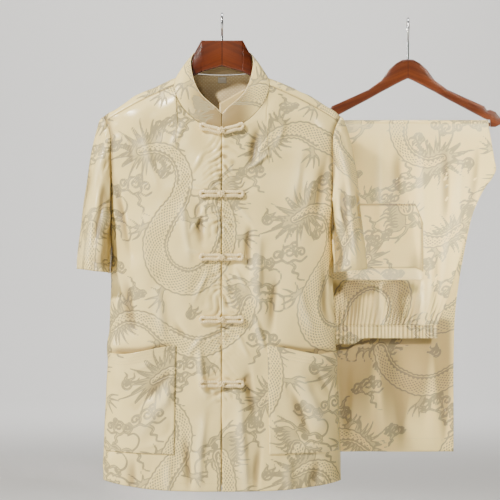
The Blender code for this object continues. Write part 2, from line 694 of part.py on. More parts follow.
def drape(radius, columns, inset=0.0):
    # one layer's points; an inset layer ends short of both edges
    grid = []
    for left, right, face, height in flap_rows():
        share = columns.copy()
        share[[0, -1]] += np.array([1, -1]) * inset / (right - left)
        x = left + (right - left) * share
        if face == "over":
            y = np.full(x.shape, BAR["y"] - radius * np.cos(height))
            z = np.full(x.shape, BAR["z"] + radius * np.sin(height))
        else:
            z = np.full(x.shape, height)
            y = BAR["y"] + radius * (1 if face == "back" else -1) + flap_wave(face, share, z)
        grid.append(np.stack([x, y, z], axis=-1))
    return np.array(grid)


def make_trouser_layers(cloth):
    fine = np.linspace(0, 1, 2 * FLAP_COLUMNS + 1)
    coarse = np.linspace(0, 1, FLAP_COLUMNS + 1)
    near, far = LAYERS["outer"]
    outer = drape(far, fine)
    raised = np.arange(len(fine)) % 2
    gathers = column(FRONT_FLAP, "gather")
    outer[: len(FRONT_FLAP), :, 1] -= gathers[:, None] * raised[None]
    wall("trouser_leg_outer", outer, drape(near, fine), cloth)
    near, far = LAYERS["inner"]
    wall("trouser_leg_inner", drape(far, coarse), drape(near, coarse), cloth)
    near, far = LAYERS["folded"]
    middle = drape((near + far) / 2, coarse, FOLDED_INSET + GROOVE)
    wall("trouser_folded_layers", drape(far, coarse, FOLDED_INSET), drape(near, coarse, FOLDED_INSET),
         cloth, groove=middle)


def make_waistband(name, layer, peek, cloth):
    # a ruched band below the flap's end, plain inside; peek is how much lower its left end hangs
    near, far = WAISTBAND[layer]
    share = np.linspace(0, 1, 2 * WAISTBAND["ruches"] + 1)
    ruche = np.arange(len(share)) % 2 * WAISTBAND["ruche"]
    left, right = FRONT_FLAP[0]["left"], FRONT_FLAP[0]["right"]
    low = WAISTBAND["low"] - peek * (1 - smooth((share - 0.25) / 0.12))
    outer, inner = [], []
    for way in (0.0, 0.5, 1.0):
        z = WAISTBAND["top"] + (low - WAISTBAND["top"]) * way
        x = left + (right - left) * share
        bend = flap_wave("front", share, z)
        swell = ruche * (1.0 if way == 0.5 else 0.6)
        outside = far + (swell if layer == "outer" else 0 * swell)
        inside = near - (swell if layer == "inner" else 0 * swell)
        outer.append(np.stack([x, BAR["y"] - outside + bend, z], axis=-1))
        inner.append(np.stack([x, BAR["y"] - inside + bend, z], axis=-1))
    return wall(name, np.array(outer), np.array(inner), cloth)


def make_trouser_pocket(cloth):
    p = TROUSER_POCKET
    x = np.append(np.linspace(p["left"], p["corner_x"], 8), p["right"])
    chamfer = (x - p["corner_x"]) / (p["right"] - p["corner_x"])
    high = p["low_z"] + (p["corner_z"] - p["low_z"]) * np.clip(chamfer, 0, 1)
    way = np.linspace(0, 1, 6)[:, None]
    z = high[None] + (p["open_z"] - high)[None] * way
    x = np.broadcast_to(x, z.shape)
    rows = FRONT_FLAP[::-1]
    keys = -column(rows, "z")
    left = np.interp(-z, keys, column(rows, "left"))
    right = np.interp(-z, keys, column(rows, "right"))
    bend = flap_wave("front", (x - left) / (right - left), z)
    gape = TROUSER_GAPE
    open_share = (way - gape["from_share"]) / (1 - gape["from_share"])
    near = LAYERS["outer"][1] + 3 * SEAM + gape["height"] * smooth(open_share)
    y = BAR["y"] - near + bend
    inner = np.stack([x, y, z], axis=-1)
    outer = np.stack([x, y - TROUSER_CLOTH, z], axis=-1)
    return wall("trouser_pocket", outer, inner, cloth)


def make_trouser_hanger(wood, steel):
    hanger_loft("trouser_hanger_wood", TROUSER_HANGER, (BAR["x"], BAR["y"]), wood)
    length = 2 * BAR["half"] * MM
    bpy.ops.mesh.primitive_cylinder_add(vertices=12, radius=BAR["radius"] * MM, depth=length)
    bar = bpy.context.object
    bar.name = "trouser_hanger_bar"
    bar.data.name = bar.name
    bar.rotation_euler = (0.0, pi / 2, 0.0)
    bar.location = (BAR["x"] * MM, BAR["y"] * MM, BAR["z"] * MM)
    bar.data.materials.append(wood)
    for collection in list(bar.users_collection):
        collection.objects.unlink(bar)
    suit.objects.link(bar)
    make_hook("trouser_hanger_hook", BAR["x"], BAR["y"], TROUSER_HANGER[0]["top"] + SEAM, steel)


def make_material(name):
    colour, roughness, metallic = FINISHES[name]
    material = bpy.data.materials.new(name)
    material.use_nodes = True
    shader = material.node_tree.nodes["Principled BSDF"]
    shader.inputs["Base Color"].default_value = colour
    shader.inputs["Roughness"].default_value = roughness
    shader.inputs["Metallic"].default_value = metallic
    material.diffuse_color = colour
    return material


for old in list(bpy.data.objects):
    bpy.data.objects.remove(old)
suit = bpy.data.collections.new("tang_suit")
bpy.context.scene.collection.children.link(suit)
materials = {name: make_material(name) for name in FINISHES}

make_fronts(materials["jacquard"])
make_back(materials["jacquard"])
make_sleeve(-1, "sleeve_left", materials["jacquard"])
make_sleeve(1, "sleeve_right", materials["jacquard"])
make_collar(materials["jacquard"])
make_underlap(materials["jacquard"])
make_label(materials["label_tape"])
make_pocket(-1, "pocket_left", materials["jacquard"])
make_pocket(1, "pocket_right", materials["jacquard"])
for index, frog_row in enumerate(FROGS):
    make_frog(index + 1, frog_row, materials["satin_cord"])
make_jacket_hanger(materials["reddish_wood"], materials["steel_wire"])

make_trouser_layers(materials["jacquard"])
make_waistband("waistband_outer", "outer", 0.0, materials["jacquard"])
make_waistband("waistband_inner", "inner", WAISTBAND["peek"], materials["jacquard"])
make_trouser_pocket(materials["jacquard"])
make_trouser_hanger(materials["orange_wood"], materials["steel_wire"])
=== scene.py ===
import bpy
import numpy as np
from functools import partial
from math import pi
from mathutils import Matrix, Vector


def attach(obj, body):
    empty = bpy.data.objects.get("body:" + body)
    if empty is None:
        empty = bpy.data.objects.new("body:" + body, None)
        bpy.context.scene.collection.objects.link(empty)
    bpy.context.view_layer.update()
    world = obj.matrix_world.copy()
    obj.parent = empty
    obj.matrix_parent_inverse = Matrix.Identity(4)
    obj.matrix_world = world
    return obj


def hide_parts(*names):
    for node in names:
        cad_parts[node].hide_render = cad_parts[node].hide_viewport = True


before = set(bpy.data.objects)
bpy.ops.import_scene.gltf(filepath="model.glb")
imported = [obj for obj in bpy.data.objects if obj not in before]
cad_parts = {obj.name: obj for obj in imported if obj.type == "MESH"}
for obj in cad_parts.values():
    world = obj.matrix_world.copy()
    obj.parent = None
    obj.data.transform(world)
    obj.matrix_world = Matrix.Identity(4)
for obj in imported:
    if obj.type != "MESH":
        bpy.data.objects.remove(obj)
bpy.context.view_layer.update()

# A tang suit on two hangers. The suit's sizes are in millimetres and become metres in putMesh; textures,
# lights and the camera are in metres.
mm = 0.001


# Small helpers of numbers


def smooth(t):
    t = np.clip(t, 0.0, 1.0)
    return t * t * (3.0 - 2.0 * t)


def signedPower(value, power):
    return np.sign(value) * np.abs(value) ** power


def bell(value, middle, width):
    return np.exp(-(((value - middle) / width) ** 2))


def throughRows(at, keys, values):
    # a smooth curve through the rows of a table: a cubic between two rows, level with its neighbours
    slopes = np.gradient(values, keys)
    at = np.clip(at, keys[0], keys[-1])
    i = np.clip(np.searchsorted(keys, at) - 1, 0, len(keys) - 2)
    gap = keys[i + 1] - keys[i]
    t = (at - keys[i]) / gap
    rise = values[i] * (1 + 2 * t) * (1 - t) ** 2 + values[i + 1] * t * t * (3 - 2 * t)
    return rise + gap * (slopes[i] * t * (1 - t) ** 2 + slopes[i + 1] * t * t * (t - 1))


def wayAlong(points):
    # each point's distance from the first one, measured along their line
    return np.concatenate([[0], np.cumsum(np.linalg.norm(np.diff(points, axis=0), axis=1))])


def flow(points, count):
    # evenly spaced places on a smooth curve through a few points
    points = np.asarray(points, float)
    keys = wayAlong(points)
    at = np.linspace(0, keys[-1], count)
    return np.stack([throughRows(at, keys, values) for values in points.T], axis=-1)


def unit(vectors):
    return vectors / np.maximum(np.linalg.norm(vectors, axis=-1, keepdims=True), 1e-9)


def ripple(x, z, seed, waves=5, reach=1.0):
    # an uneven surface: a few sine waves of unlike lengths and directions, summed
    rng = np.random.default_rng(seed)
    total = np.zeros(np.broadcast(x, z).shape)
    for _ in range(waves):
        angle, length, phase = rng.uniform(0, pi), rng.uniform(0.6, 1.7) * reach, rng.uniform(0, 2 * pi)
        total = total + np.sin(2 * pi * (x * np.cos(angle) + z * np.sin(angle)) / length + phase)
    return total / waves


# Meshes from grids of points


def gridQuads(rows, columns, wrap=False):
    i = np.arange(rows - 1)[:, None] * columns
    j = np.arange(columns if wrap else columns - 1)[None]
    k = (j + 1) % columns
    corners = np.broadcast_arrays(i + j, i + k, i + columns + k, i + columns + j)
    return np.stack(corners, axis=-1).reshape(-1, 4)


def putMesh(name, points, faces, material, fields=None, uv=None):
    # a mesh with its points in metres, its fields as attributes and its places in the flat cloth as UV
    mesh = bpy.data.meshes.new(name)
    faces = faces.tolist() if isinstance(faces, np.ndarray) else faces
    mesh.from_pydata((points.reshape(-1, 3) * mm).tolist(), [], faces)
    for title, values in (fields or {}).items():
        layer = mesh.attributes.new(title, "FLOAT_VECTOR", "POINT")
        layer.data.foreach_set("vector", values.reshape(-1).astype(np.float32))
    if uv is not None:
        corner = np.empty(len(mesh.loops), dtype=np.int32)
        mesh.loops.foreach_get("vertex_index", corner)
        layer = mesh.uv_layers.new(name="UVMap")
        layer.data.foreach_set("uv", (uv.reshape(-1, 2)[corner] * mm).reshape(-1).astype(np.float32))
    mesh.shade_smooth()
    for one in material if isinstance(material, tuple) else (material,):
        mesh.materials.append(one)
    piece = bpy.data.objects.new(name, mesh)
    bpy.context.scene.collection.objects.link(piece)
    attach(piece, "root")
    return piece


def faceOutward(points, faces, outward):
    # turns all faces over where they face against the outward directions in sum
    a, b, c = (points.reshape(-1, 3)[faces[:, i]] for i in (0, 1, 2))
    middle = outward.reshape(-1, 3)[faces[:, 0]]
    facing = (np.cross(b - a, c - a) * middle).sum()
    return faces[:, ::-1] if facing < 0 else faces


def putCloth(name, points, outward, material, wall, fields=None, uv=None, wrap=False):
    # one layer of cloth: the grid is its outer face, and Solidify gives it the wall and the reverse side
    faces = faceOutward(points, gridQuads(*points.shape[:2], wrap), outward)
    piece = putMesh(name, points, faces, material, fields, uv)
    solid = piece.modifiers.new("wall", "SOLIDIFY")
    solid.thickness = wall * mm
    solid.offset = -1.0
    solid.use_even_offset = False
    if isinstance(material, tuple):
        solid.material_offset = 1
    return piece


def sweep(path, across, radius, sides, closed=False):
    # rings of points carried along a path; across is a direction square to the path at each station
    step = np.roll(path, -1, 0) - np.roll(path, 1, 0) if closed else np.gradient(path, axis=0)
    along = unit(step)
    first = unit(across - along * (across * along).sum(-1, keepdims=True))
    second = np.cross(along, first)
    turn = np.linspace(0, 2 * pi, sides, endpoint=False)[None, :, None]
    ring = first[:, None] * np.cos(turn) + second[:, None] * np.sin(turn)
    return path[:, None] + ring * np.broadcast_to(radius, (len(path), sides))[..., None]


def putTube(name, rings, material, closed=False):
    # a swept tube, capped unless it is closed; cordWay is each point's way along it and share round it
    rows, sides = rings.shape[:2]
    faces = gridQuads(rows + 1, sides, True) % (rows * sides) if closed else gridQuads(rows, sides, True)
    faces = faces[:, ::-1].tolist()
    if not closed:
        faces += [list(range(sides)), list(range((rows - 1) * sides, rows * sides))[::-1]]
    way, turn = wayAlong(rings.mean(axis=1))[:, None], np.arange(sides)[None] / sides
    return putMesh(name, rings, faces, material,
                   {"cordWay": np.stack(np.broadcast_arrays(way, turn, 0 * way), axis=-1)})


# Shader building


def newMaterial(name):
    material = bpy.data.materials.new(name)
    material.use_nodes = True
    tree = material.node_tree
    return material, tree, tree.nodes["Principled BSDF"]


def plug(value, socket):
    # links an output of a node, and sets any other value
    if isinstance(value, bpy.types.NodeSocket):
        value.id_data.links.new(value, socket)
    else:
        socket.default_value = value


def addNode(kind, values, places=None, **settings):
    # a node beside the one whose output is among the values, which fill its inputs in their order
    tree = next(value.id_data for value in values if isinstance(value, bpy.types.NodeSocket))
    node = tree.nodes.new("ShaderNode" + kind)
    for title, setting in settings.items():
        setattr(node, title, setting)
    for value, place in zip(values, places or range(len(values))):
        plug(value, node.inputs[place])
    return node


def calc(operation, *values):
    return addNode("Math", values, operation=operation).outputs[0]


times, plus, minus = partial(calc, "MULTIPLY"), partial(calc, "ADD"), partial(calc, "SUBTRACT")
larger, absolute, fraction = partial(calc, "MAXIMUM"), partial(calc, "ABSOLUTE"), partial(calc, "FRACT")


def fade(value, low, high, start=0.0, end=1.0):
    return addNode("MapRange", (value, low, high, start, end), interpolation_type="SMOOTHSTEP").outputs[0]


def mixColour(share, first, second, blend="MIX"):
    return addNode("Mix", (share, first, second), (0, 6, 7), data_type="RGBA", blend_type=blend).outputs[2]


def split(vector):
    return addNode("SeparateXYZ", (vector,)).outputs


def attributeOf(tree, name):
    node = tree.nodes.new("ShaderNodeAttribute")
    node.attribute_name = name
    return node.outputs["Vector"]


def placed(tree, source="Object", scale=(1, 1, 1)):
    coordinates = tree.nodes.new("ShaderNodeTexCoord")
    return addNode("Mapping", (coordinates.outputs[source], scale), ("Vector", "Scale")).outputs[0]


def noise(where, scale, detail=3.0, roughness=0.5):
    values, places = (where, scale, detail, roughness), ("Vector", "Scale", "Detail", "Roughness")
    return addNode("TexNoise", values, places).outputs[0]


def bump(height, distance, strength=1.0, below=None):
    node = addNode("Bump", (height, distance, strength), ("Height", "Distance", "Strength"))
    if below is not None:
        plug(below, node.inputs["Normal"])
    return node.outputs[0]


def tint(colour, share=1.0):
    return [c * share for c in colour[:3]] + [1]


def coat(shader, colour, rough, normal=None):
    plug(colour, shader.inputs["Base Color"])
    plug(rough, shader.inputs["Roughness"])
    if normal is not None:
        plug(normal, shader.inputs["Normal"])


# The woven design: dragons, clouds and pearls, drawn with tapered strokes in the cloth's own plane.
# A repeat is 286 by 470 mm, and each column of repeats is dropped by 121 mm against the last.

design = dict(
    wide=286.0, drop=121.0, high=470.0, step=0.5, reach=5.0,
    dragon=((0, 0, 7), (31, 12, 10), (63, 2, 13), (82, -32, 15), (76, -76, 17), (48, -120, 20),
            (29, -168, 23), (46, -214, 25), (92, -232, 24), (138, -204, 20), (160, -156, 17),
            (160, -112, 15), (150, -82, 13)),
    serpent=((-62, -336, 7), (-30, -310, 11), (12, -308, 15), (54, -334, 18), (104, -352, 19),
             (154, -336, 17), (190, -304, 15), (204, -268, 13)),
    tails=((7, 27, 70, 128), (7, 21, 54, 118)),
    bodyPlaces=91, strokePlaces=9,
    clouds=((-10, -62, 23, 1, 1), (96, 84, 22, -1, 1), (206, -26, 18, 1, 1), (-58, -214, 21, -1, 1),
            (222, -196, 18, -1, 1), (56, -412, 21, 1, 1), (-6, -262, 13, 1, -1), (176, 46, 14, 1, 1)),
    claws=((40, -262, -118, 1.15), (4, -140, 196, 1.1), (192, -148, -12, 1.0), (104, -118, -20, 0.85),
           (36, -354, -100, 1.0), (128, -380, -72, 1.05), (-24, -286, 112, 0.9)),
    heads=((148, -66, 1, 16), (210, -252, -1, 10)),
    pearls=((44, -34, 8), (236, -118, 9), (96, -292, 8)),
)

# What a body carries: the wave of its outline, the cells of its net of dashes, its fin's teeth and depth, and
# where along it the fin changes sides. Then the share of a plain area's fill, and both roughnesses.
marks = dict(waveRate=0.52, wave=0.7, cellLong=8.4, cellWide=5.6, tooth=5.0, toothRise=0.75, finDeep=9.0,
             swap=130.0, fill=0.55, rough=(0.27, 0.5))


def stroke(points, widest, narrowest, count=design["strokePlaces"]):
    # a curve through a few points whose half width runs from widest to narrowest
    return flow(points, count), np.linspace(widest, narrowest, count)

def turnedBy(points, angle, size=1.0, flip=1, middle=(0, 0)):
    points = np.asarray(points, float) * [flip * size, size]
    c, s = np.cos(np.radians(angle)), np.sin(np.radians(angle))
    return points @ np.array([[c, s], [-s, c]]) + np.asarray(middle, float)


def spiral(centre, wide, tight, start, turns, sense):
    # a spiral that closes in from its wide radius to its tight one
    t = np.linspace(0, 1, 16)
    radius = wide + (tight - wide) * t ** 0.8
    angle = np.radians(start) + sense * 2 * pi * turns * t
    return np.stack([centre[0] + radius * np.cos(angle), centre[1] + radius * np.sin(angle)], axis=-1)


def cloudStrokes(x, y, size, flip, rise):
    # three scrolls on a wavy base and a trailing wisp
    parts = [spiral((0, 0.1), 0.62, 0.12, 200, 1.5, -1), spiral((-0.95, -0.1), 0.46, 0.1, 320, 1.25, 1),
             spiral((0.98, 0.0), 0.5, 0.1, 220, 1.3, -1), spiral((0.45, 0.62), 0.34, 0.1, 250, 1.1, -1)]
    base = [(-1.45, -0.3), (-1.1, -0.66), (-0.55, -0.52), (-0.1, -0.78), (0.4, -0.55), (0.9, -0.74),
            (1.45, -0.4)]
    wisp = [(0.1, -0.75), (0.5, -1.15), (0.28, -1.5), (0.8, -1.75), (0.72, -2.05), (1.35, -2.3)]
    lines = [(part, 2.2, 1.7) for part in parts] + [(base, 2.3, 1.8), (wisp, 3.0, 1.2)]
    angle = 0 if rise > 0 else 180
    return [stroke(turnedBy(part, angle, size, flip, (x, y)), wide, thin, 18) for part, wide, thin in lines]


def clawStrokes(x, y, angle, size):
    # a forearm, a bent wrist, five talons and three tufts
    arm = [(-26, 6), (-14, -4), (0, 0)]
    talons = [((0, 0), (12, 13), (24, 16)), ((0, 0), (15, 5), (28, 6)), ((0, 0), (15, -4), (27, -8)),
              ((0, 0), (10, -12), (20, -20)), ((0, 0), (-6, -11), (-4, -22))]
    tufts = [((-18, 2), (-26, 14), (-38, 18)), ((-14, -3), (-24, -10), (-36, -8)),
             ((-22, 2), (-34, 4), (-46, 2))]
    lines = [(arm, 6.0, 3.6)] + [(part, 2.9, 0.9) for part in talons] + [(part, 2.6, 0.8) for part in tufts]
    return [stroke(turnedBy(part, angle, size, 1, (x, y)), wide, thin) for part, wide, thin in lines]


def headStrokes(x, y, flip, angle):
    # a dragon's head in profile: brow, snout, lips, jaw, teeth, eye, horns, whiskers and mane
    lines = [
        (((-38, -3), (-36, 6), (-27, 11), (-16, 8), (-8, 13), (2, 17), (12, 14)), 2.3, 2.6),
        (spiral((-31, 4), 5.5, 1.6, 60, 1.2, 1), 1.9, 1.5),
        (((-38, -4), (-28, -6), (-17, -2), (-8, -7), (0, -11)), 2.2, 2.0),
        (((-33, -18), (-24, -19), (-13, -17), (-3, -14), (6, -6)), 2.4, 2.8),
        (((-30, -5), (-30, -11)), 1.8, 0.7), (((-22, -4), (-21, -10)), 1.7, 0.7),
        (((-26, -17), (-25, -12)), 1.7, 0.7), (((-15, -16), (-14, -11)), 1.6, 0.7),
        (spiral((-7, 4), 5.0, 4.6, 0, 1.0, 1), 1.8, 1.8), (((-8, 4), (-6, 4.5)), 1.8, 1.6),
        (((-15, 13), (-8, 20), (2, 20), (8, 15)), 3.0, 1.6),
        (((4, 17), (14, 28), (30, 33), (46, 30)), 3.2, 1.2), (((22, 31), (30, 38), (38, 42)), 2.2, 1.0),
        (((10, 12), (22, 18), (38, 17), (52, 20)), 3.0, 1.2), (((8, 4), (18, 8), (26, 4)), 3.4, 1.4),
        (((-36, 2), (-50, 8), (-56, 22), (-48, 34), (-36, 34)), 1.9, 1.4),
        (((-34, -8), (-48, -14), (-54, -30), (-46, -44), (-34, -42)), 1.9, 1.4),
        (((-26, -19), (-34, -28), (-32, -40)), 2.4, 1.0), (((-18, -18), (-22, -30), (-16, -42)), 2.4, 1.0),
        (((-9, -16), (-10, -28), (0, -40)), 2.4, 1.0),
    ]
    for i in range(13):
        lean = 26.0 - 9.5 * i
        far = turnedBy([(0, 0), (18, 5), (36, -3), (50 + 9 * np.sin(1.9 * i), 6)], lean, 0.95, 1,
                       (8 - 0.4 * i, 8 - 2.0 * i))
        lines.append((far, 3.4, 0.9))
    return [stroke(turnedBy(part, angle, 1.0, flip, (x, y)), wide, thin, 14) for part, wide, thin in lines]


def tailStrokes(line, halfWidth, spikes, longest, spread):
    # flames that fan out round the end of a tail, each bent back along it
    start, away = line[0], unit(line[0] - line[4])
    heading = np.degrees(np.arctan2(away[1], away[0]))
    found = []
    for i in range(spikes):
        share = (i + 0.5) / spikes * 2 - 1
        lean = heading + share * spread
        long = longest * (1 - 0.42 * abs(share)) * (0.82 + 0.18 * np.cos(2.4 * i))
        sideways = np.array([-away[1], away[0]]) * share * halfWidth * 1.2
        root = start - away * (abs(share) ** 1.3 * 46) + sideways
        bend = 0.32 * share + 0.1 * np.cos(3.1 * i)
        flame = [(0, 0), (0.5, 0.15 * bend), (0.8, 0.55 * bend), (1.0, bend)]
        found.append(stroke(turnedBy(flame, lean, long, 1, root), 3.6, 0.9, 10))
    return found


def pearlStrokes(x, y, size):
    ring = spiral((0, 0), 1.0, 1.0, 0, 1.0, 1)
    swirl = spiral((0, 0), 0.5, 0.1, 90, 1.0, 1)
    flames = [((0.7, 0.9), (1.6, 1.3), (1.5, 2.2)), ((1.2, 0.1), (2.1, 0.3), (2.6, 1.0)),
              ((-0.3, 1.2), (0.1, 1.9), (-0.4, 2.6))]
    lines = [(ring, 2.0, 2.0), (swirl, 1.8, 1.4)] + [(flame, 2.6, 0.8) for flame in flames]
    return [stroke(turnedBy(part, 0, size, 1, (x, y)), wide, thin, 14) for part, wide, thin in lines]


def drawRepeat():
    # every stroke of one repeat: bodies carry scales, all others are plain areas
    lines = [flow(design[name], design["bodyPlaces"]) for name in ("dragon", "serpent")]
    bodies = [(line[:, :2], line[:, 2]) for line in lines]
    plain = []
    for (line, _), tail in zip(bodies, design["tails"]):
        plain += tailStrokes(line, *tail)
    drawings = dict(clouds=cloudStrokes, claws=clawStrokes, heads=headStrokes, pearls=pearlStrokes)
    for kind, draw in drawings.items():
        for row in design[kind]:
            plain += draw(*row)
    return bodies, plain


def strokeField(places, line, radii, start=0.0):
    # each place's distance to the nearest stretch of a line less the half width there, its way along the
    # line and its signed distance to the line
    step = np.diff(line, axis=0)
    length = np.linalg.norm(step, axis=1)
    gap = places[:, None] - line[None, :-1]
    share = np.clip((gap * step).sum(2) / length ** 2, 0, 1)
    away = np.linalg.norm(gap - share[..., None] * step, axis=2)
    reach = away - (radii[:-1] + share * np.diff(radii))
    near = reach.argmin(1)
    row = np.arange(len(places))
    along = start + wayAlong(line)[near] + share[row, near] * length[near]
    cross = (step[near, 0] * gap[row, near, 1] - step[near, 1] * gap[row, near, 0]) / length[near]
    return reach[row, near], along, cross


def repeatTable():
    # the design's fields over one repeat, half a millimetre apart and joined up at its edges. Each stroke
    # is worked out only near itself.
    step, far = design["step"], design["reach"]
    wide, high, drop = (int(design[name] / step) for name in ("wide", "high", "drop"))
    table = {name: np.full((wide, high), far) for name in ("plain", "body", "across")}
    table["along"] = np.zeros((wide, high))
    bodies, plain = drawRepeat()
    parts = [(line, radii, 0.0, "plain") for line, radii in plain]
    for line, radii in bodies:
        way = wayAlong(line)
        parts += [(line[k:k + 11], radii[k:k + 11], way[k], "body") for k in range(0, len(line) - 1, 10)]
    for line, radii, start, kind in parts:
        margin = radii[:, None] + far
        low = np.floor((line - margin).min(0) / step).astype(int)
        top = np.ceil((line + margin).max(0) / step).astype(int)
        spans = [np.arange(*ends) for ends in zip(low, top)]
        i, j = (numbers.ravel() for numbers in np.meshgrid(*spans, indexing="ij"))
        reach, along, across = strokeField(np.stack([i, j], 1) * step, line, radii, start)
        spot = (i % wide, (j + drop * (i // wide)) % high)
        closer = reach < table[kind][spot]
        spot = (spot[0][closer], spot[1][closer])
        table[kind][spot] = reach[closer]
        if kind == "body":
            table["along"][spot], table["across"][spot] = along[closer], across[closer]
    for name, field in table.items():
        field = np.vstack([field, np.roll(field[0], -drop)])
        table[name] = np.hstack([field, field[:, :1]])
    return table


repeat = repeatTable()
print("design: one repeat of", repeat["body"].shape, "places")


def weave(cloth, shift=(0, 0), turn=0, paintedLight=0.0):
    # the design's fields at cloth places: distance to its plain areas, distance to a dragon's body, and the
    # way along that body and from its middle line; the last argument is painted light, -1 for full painted
    # shade in a deep crease and 1 for a painted highlight on a ridge
    places = turnedBy(cloth.reshape(-1, 2), turn) + np.asarray(shift, float)
    step = design["step"]
    turns = np.floor(places[:, 0] / design["wide"])
    u = (places[:, 0] - design["wide"] * turns) / step
    w = (places[:, 1] + design["drop"] * turns) % design["high"] / step
    rows, columns = repeat["body"].shape
    i, j = np.minimum(u.astype(int), rows - 2), np.minimum(w.astype(int), columns - 2)
    s, t = u - i, w - j

    def between(field):
        return ((field[i, j] * (1 - s) + field[i + 1, j] * s) * (1 - t)
                + (field[i, j + 1] * (1 - s) + field[i + 1, j + 1] * s) * t)

    near = (i + (s > 0.5), j + (t > 0.5))
    flat = 0 * u
    paintedLight = flat + np.clip(np.ravel(paintedLight), -1, 1)
    return {"designAndPaintedLight": np.stack([between(repeat["plain"]), between(repeat["body"]), paintedLight], -1),
            "designB": np.stack([repeat["along"][near], repeat["across"][near], flat], -1)}


def clothPlaces(points, middle=0, startZ=0.0, level=3):
    # each point's place in the flat cloth: its way along its row from the middle column, and up its column;
    # level 2 leaves the rows' rise out of the way along them
    across = np.linalg.norm(np.diff(points[..., :level], axis=1), axis=-1)
    across = np.concatenate([np.zeros((len(points), 1)), np.cumsum(across, axis=1)], axis=1)
    up = np.linalg.norm(np.diff(points, axis=0), axis=-1)
    up = np.concatenate([np.zeros((1, points.shape[1])), np.cumsum(up, axis=0)], axis=0)
    return np.stack([across - across[:, middle:middle + 1], startZ + up], axis=-1)


# Materials. The first two tints are the painted shade of a deep crease and the painted highlight on a ridge.

hollowShade, ridge = (0.50, 0.46, 0.43, 1), (0.97, 0.85, 0.52, 1)
cream, greyCream = (0.90, 0.72, 0.30, 1), (0.36, 0.30, 0.15, 1)


def jacquard(name, ground, motif, front=None):
    # satin ground with the woven design: plain areas, each body's wavy outline, its net of dashes, and a
    # toothed fin that changes sides on its way; over it painted shade in creases and painted highlight on
    # ridges. The fades' limits are distances in millimetres, from an outline or within a cell; front is a
    # painted shade tint for the collar near its centre front.
    m = marks
    material, tree, shader = newMaterial(name)
    plain, body, paintedLight = split(attributeOf(tree, "designAndPaintedLight"))
    along, across, _ = split(attributeOf(tree, "designB"))
    inside = fade(body, -0.5, 0.5, 1.0, 0.0)
    wave = times(calc("SINE", times(along, m["waveRate"])), m["wave"])
    rim = fade(absolute(plus(body, wave)), 1.0, 2.0, 1.0, 0.0)
    u, w = calc("DIVIDE", along, m["cellLong"]), calc("DIVIDE", across, m["cellWide"])
    dash = 1.0
    for crossed in (plus, minus):
        dash = times(fade(absolute(minus(fraction(crossed(u, w)), 0.5)), 0.22, 0.36, 1.0, 0.0), dash)
    side = calc("GREATER_THAN", times(across, minus(along, m["swap"])), 0.0)
    finEdge = minus(times(calc("PINGPONG", along, m["tooth"]), m["toothRise"]), m["finDeep"])
    fin = times(side, fade(minus(body, finEdge), -0.4, 0.4))
    fin = times(fin, fade(body, -3.4, -2.6, 1.0, 0.0))
    dash = times(dash, fade(body, -4.2, -3.2, 1.0, 0.0))
    dash = times(dash, minus(1.0, times(side, fade(body, -10.4, -9.6))))
    scales = times(inside, larger(dash, fin))
    filled = fade(plain, -0.5, 0.5, m["fill"], 0.0)
    outline = fade(absolute(plus(plain, 0.7)), 0.5, 1.3, 1.0, 0.0)
    spread = times(larger(filled, outline), minus(1.0, inside))
    mark = larger(larger(spread, rim), scales)
    tone = mixColour(noise(placed(tree), 9.0, 2.0), tint(ground, 0.97), ground)
    # painted shade on the collar's front, strongest within 30 mm of the centre front
    if front:
        x, y, _ = split(placed(tree))
        share = times(fade(absolute(x), 0.03, 0.075, 0.9, 0.0), fade(y, -0.035, -0.01, 1.0, 0.0))
        tone = mixColour(share, tone, front)
    # painted shade: multiplied towards the crease tint where the painted light is below 0; painted highlight:
    # mixed towards the ridge tint where it is above 0
    tone = mixColour(fade(paintedLight, -1.0, 0.0, 1.0, 0.0), mixColour(mark, tone, motif), hollowShade, "MULTIPLY")
    tone = mixColour(fade(paintedLight, 0.0, 1.0, 0.0, 0.3), tone, ridge)
    grain = noise(placed(tree, "UV", (1, 0.45, 1)), 900.0, 2.0)
    height = plus(times(mark, -0.9), times(grain, 0.2))
    soft = bump(noise(placed(tree), 55.0), 0.0007, 0.5)
    coat(shader, tone, fade(mark, 0.0, 1.0, *m["rough"]), bump(height, 0.0004, 1.0, soft))
    return material


def reverseCloth(name, ground, dots):
    # the cloth's wrong side: an even ground with small lighter dots in staggered rows, 7 mm apart
    material, tree, shader = newMaterial(name)
    x, y, _ = split(placed(tree, "UV", (1000 / 7.0, 1000 / 7.0, 1)))
    u, w = (minus(fraction(crossed(x, y)), 0.5) for crossed in (plus, minus))
    away = calc("SQRT", plus(times(u, u), times(w, w)))
    colour = mixColour(fade(away, 0.14, 0.26, 1.0, 0.0), ground, dots)
    coat(shader, colour, 0.5, bump(noise(placed(tree), 70.0), 0.0005, 0.5))
    return material


def satin(name, colour, rough, scale=45.0):
    # plain satin or tape: one colour that drifts a little, over soft unevenness
    material, tree, shader = newMaterial(name)
    drift = noise(placed(tree), scale)
    coat(shader, mixColour(drift, tint(colour, 0.9), tint(colour)), rough, bump(drift, 0.0006, 0.6))
    shader.inputs["Sheen Weight"].default_value = 0.2
    return material


def cordSatin(name, colour, shade):
    # a satin tube of bias cloth, with slanting wrinkles that follow the cord, 3 mm apart, and painted shade
    # towards the shade colour in each wrinkle
    material, tree, shader = newMaterial(name)
    way, turn, _ = split(attributeOf(tree, "cordWay"))
    tone = fade(calc("SINE", plus(times(way, 2.1), times(turn, 6.283))), -1.0, 1.0)
    coat(shader, mixColour(tone, tint(shade), tint(colour)), 0.22, bump(tone, 0.0003, 0.6))
    return material


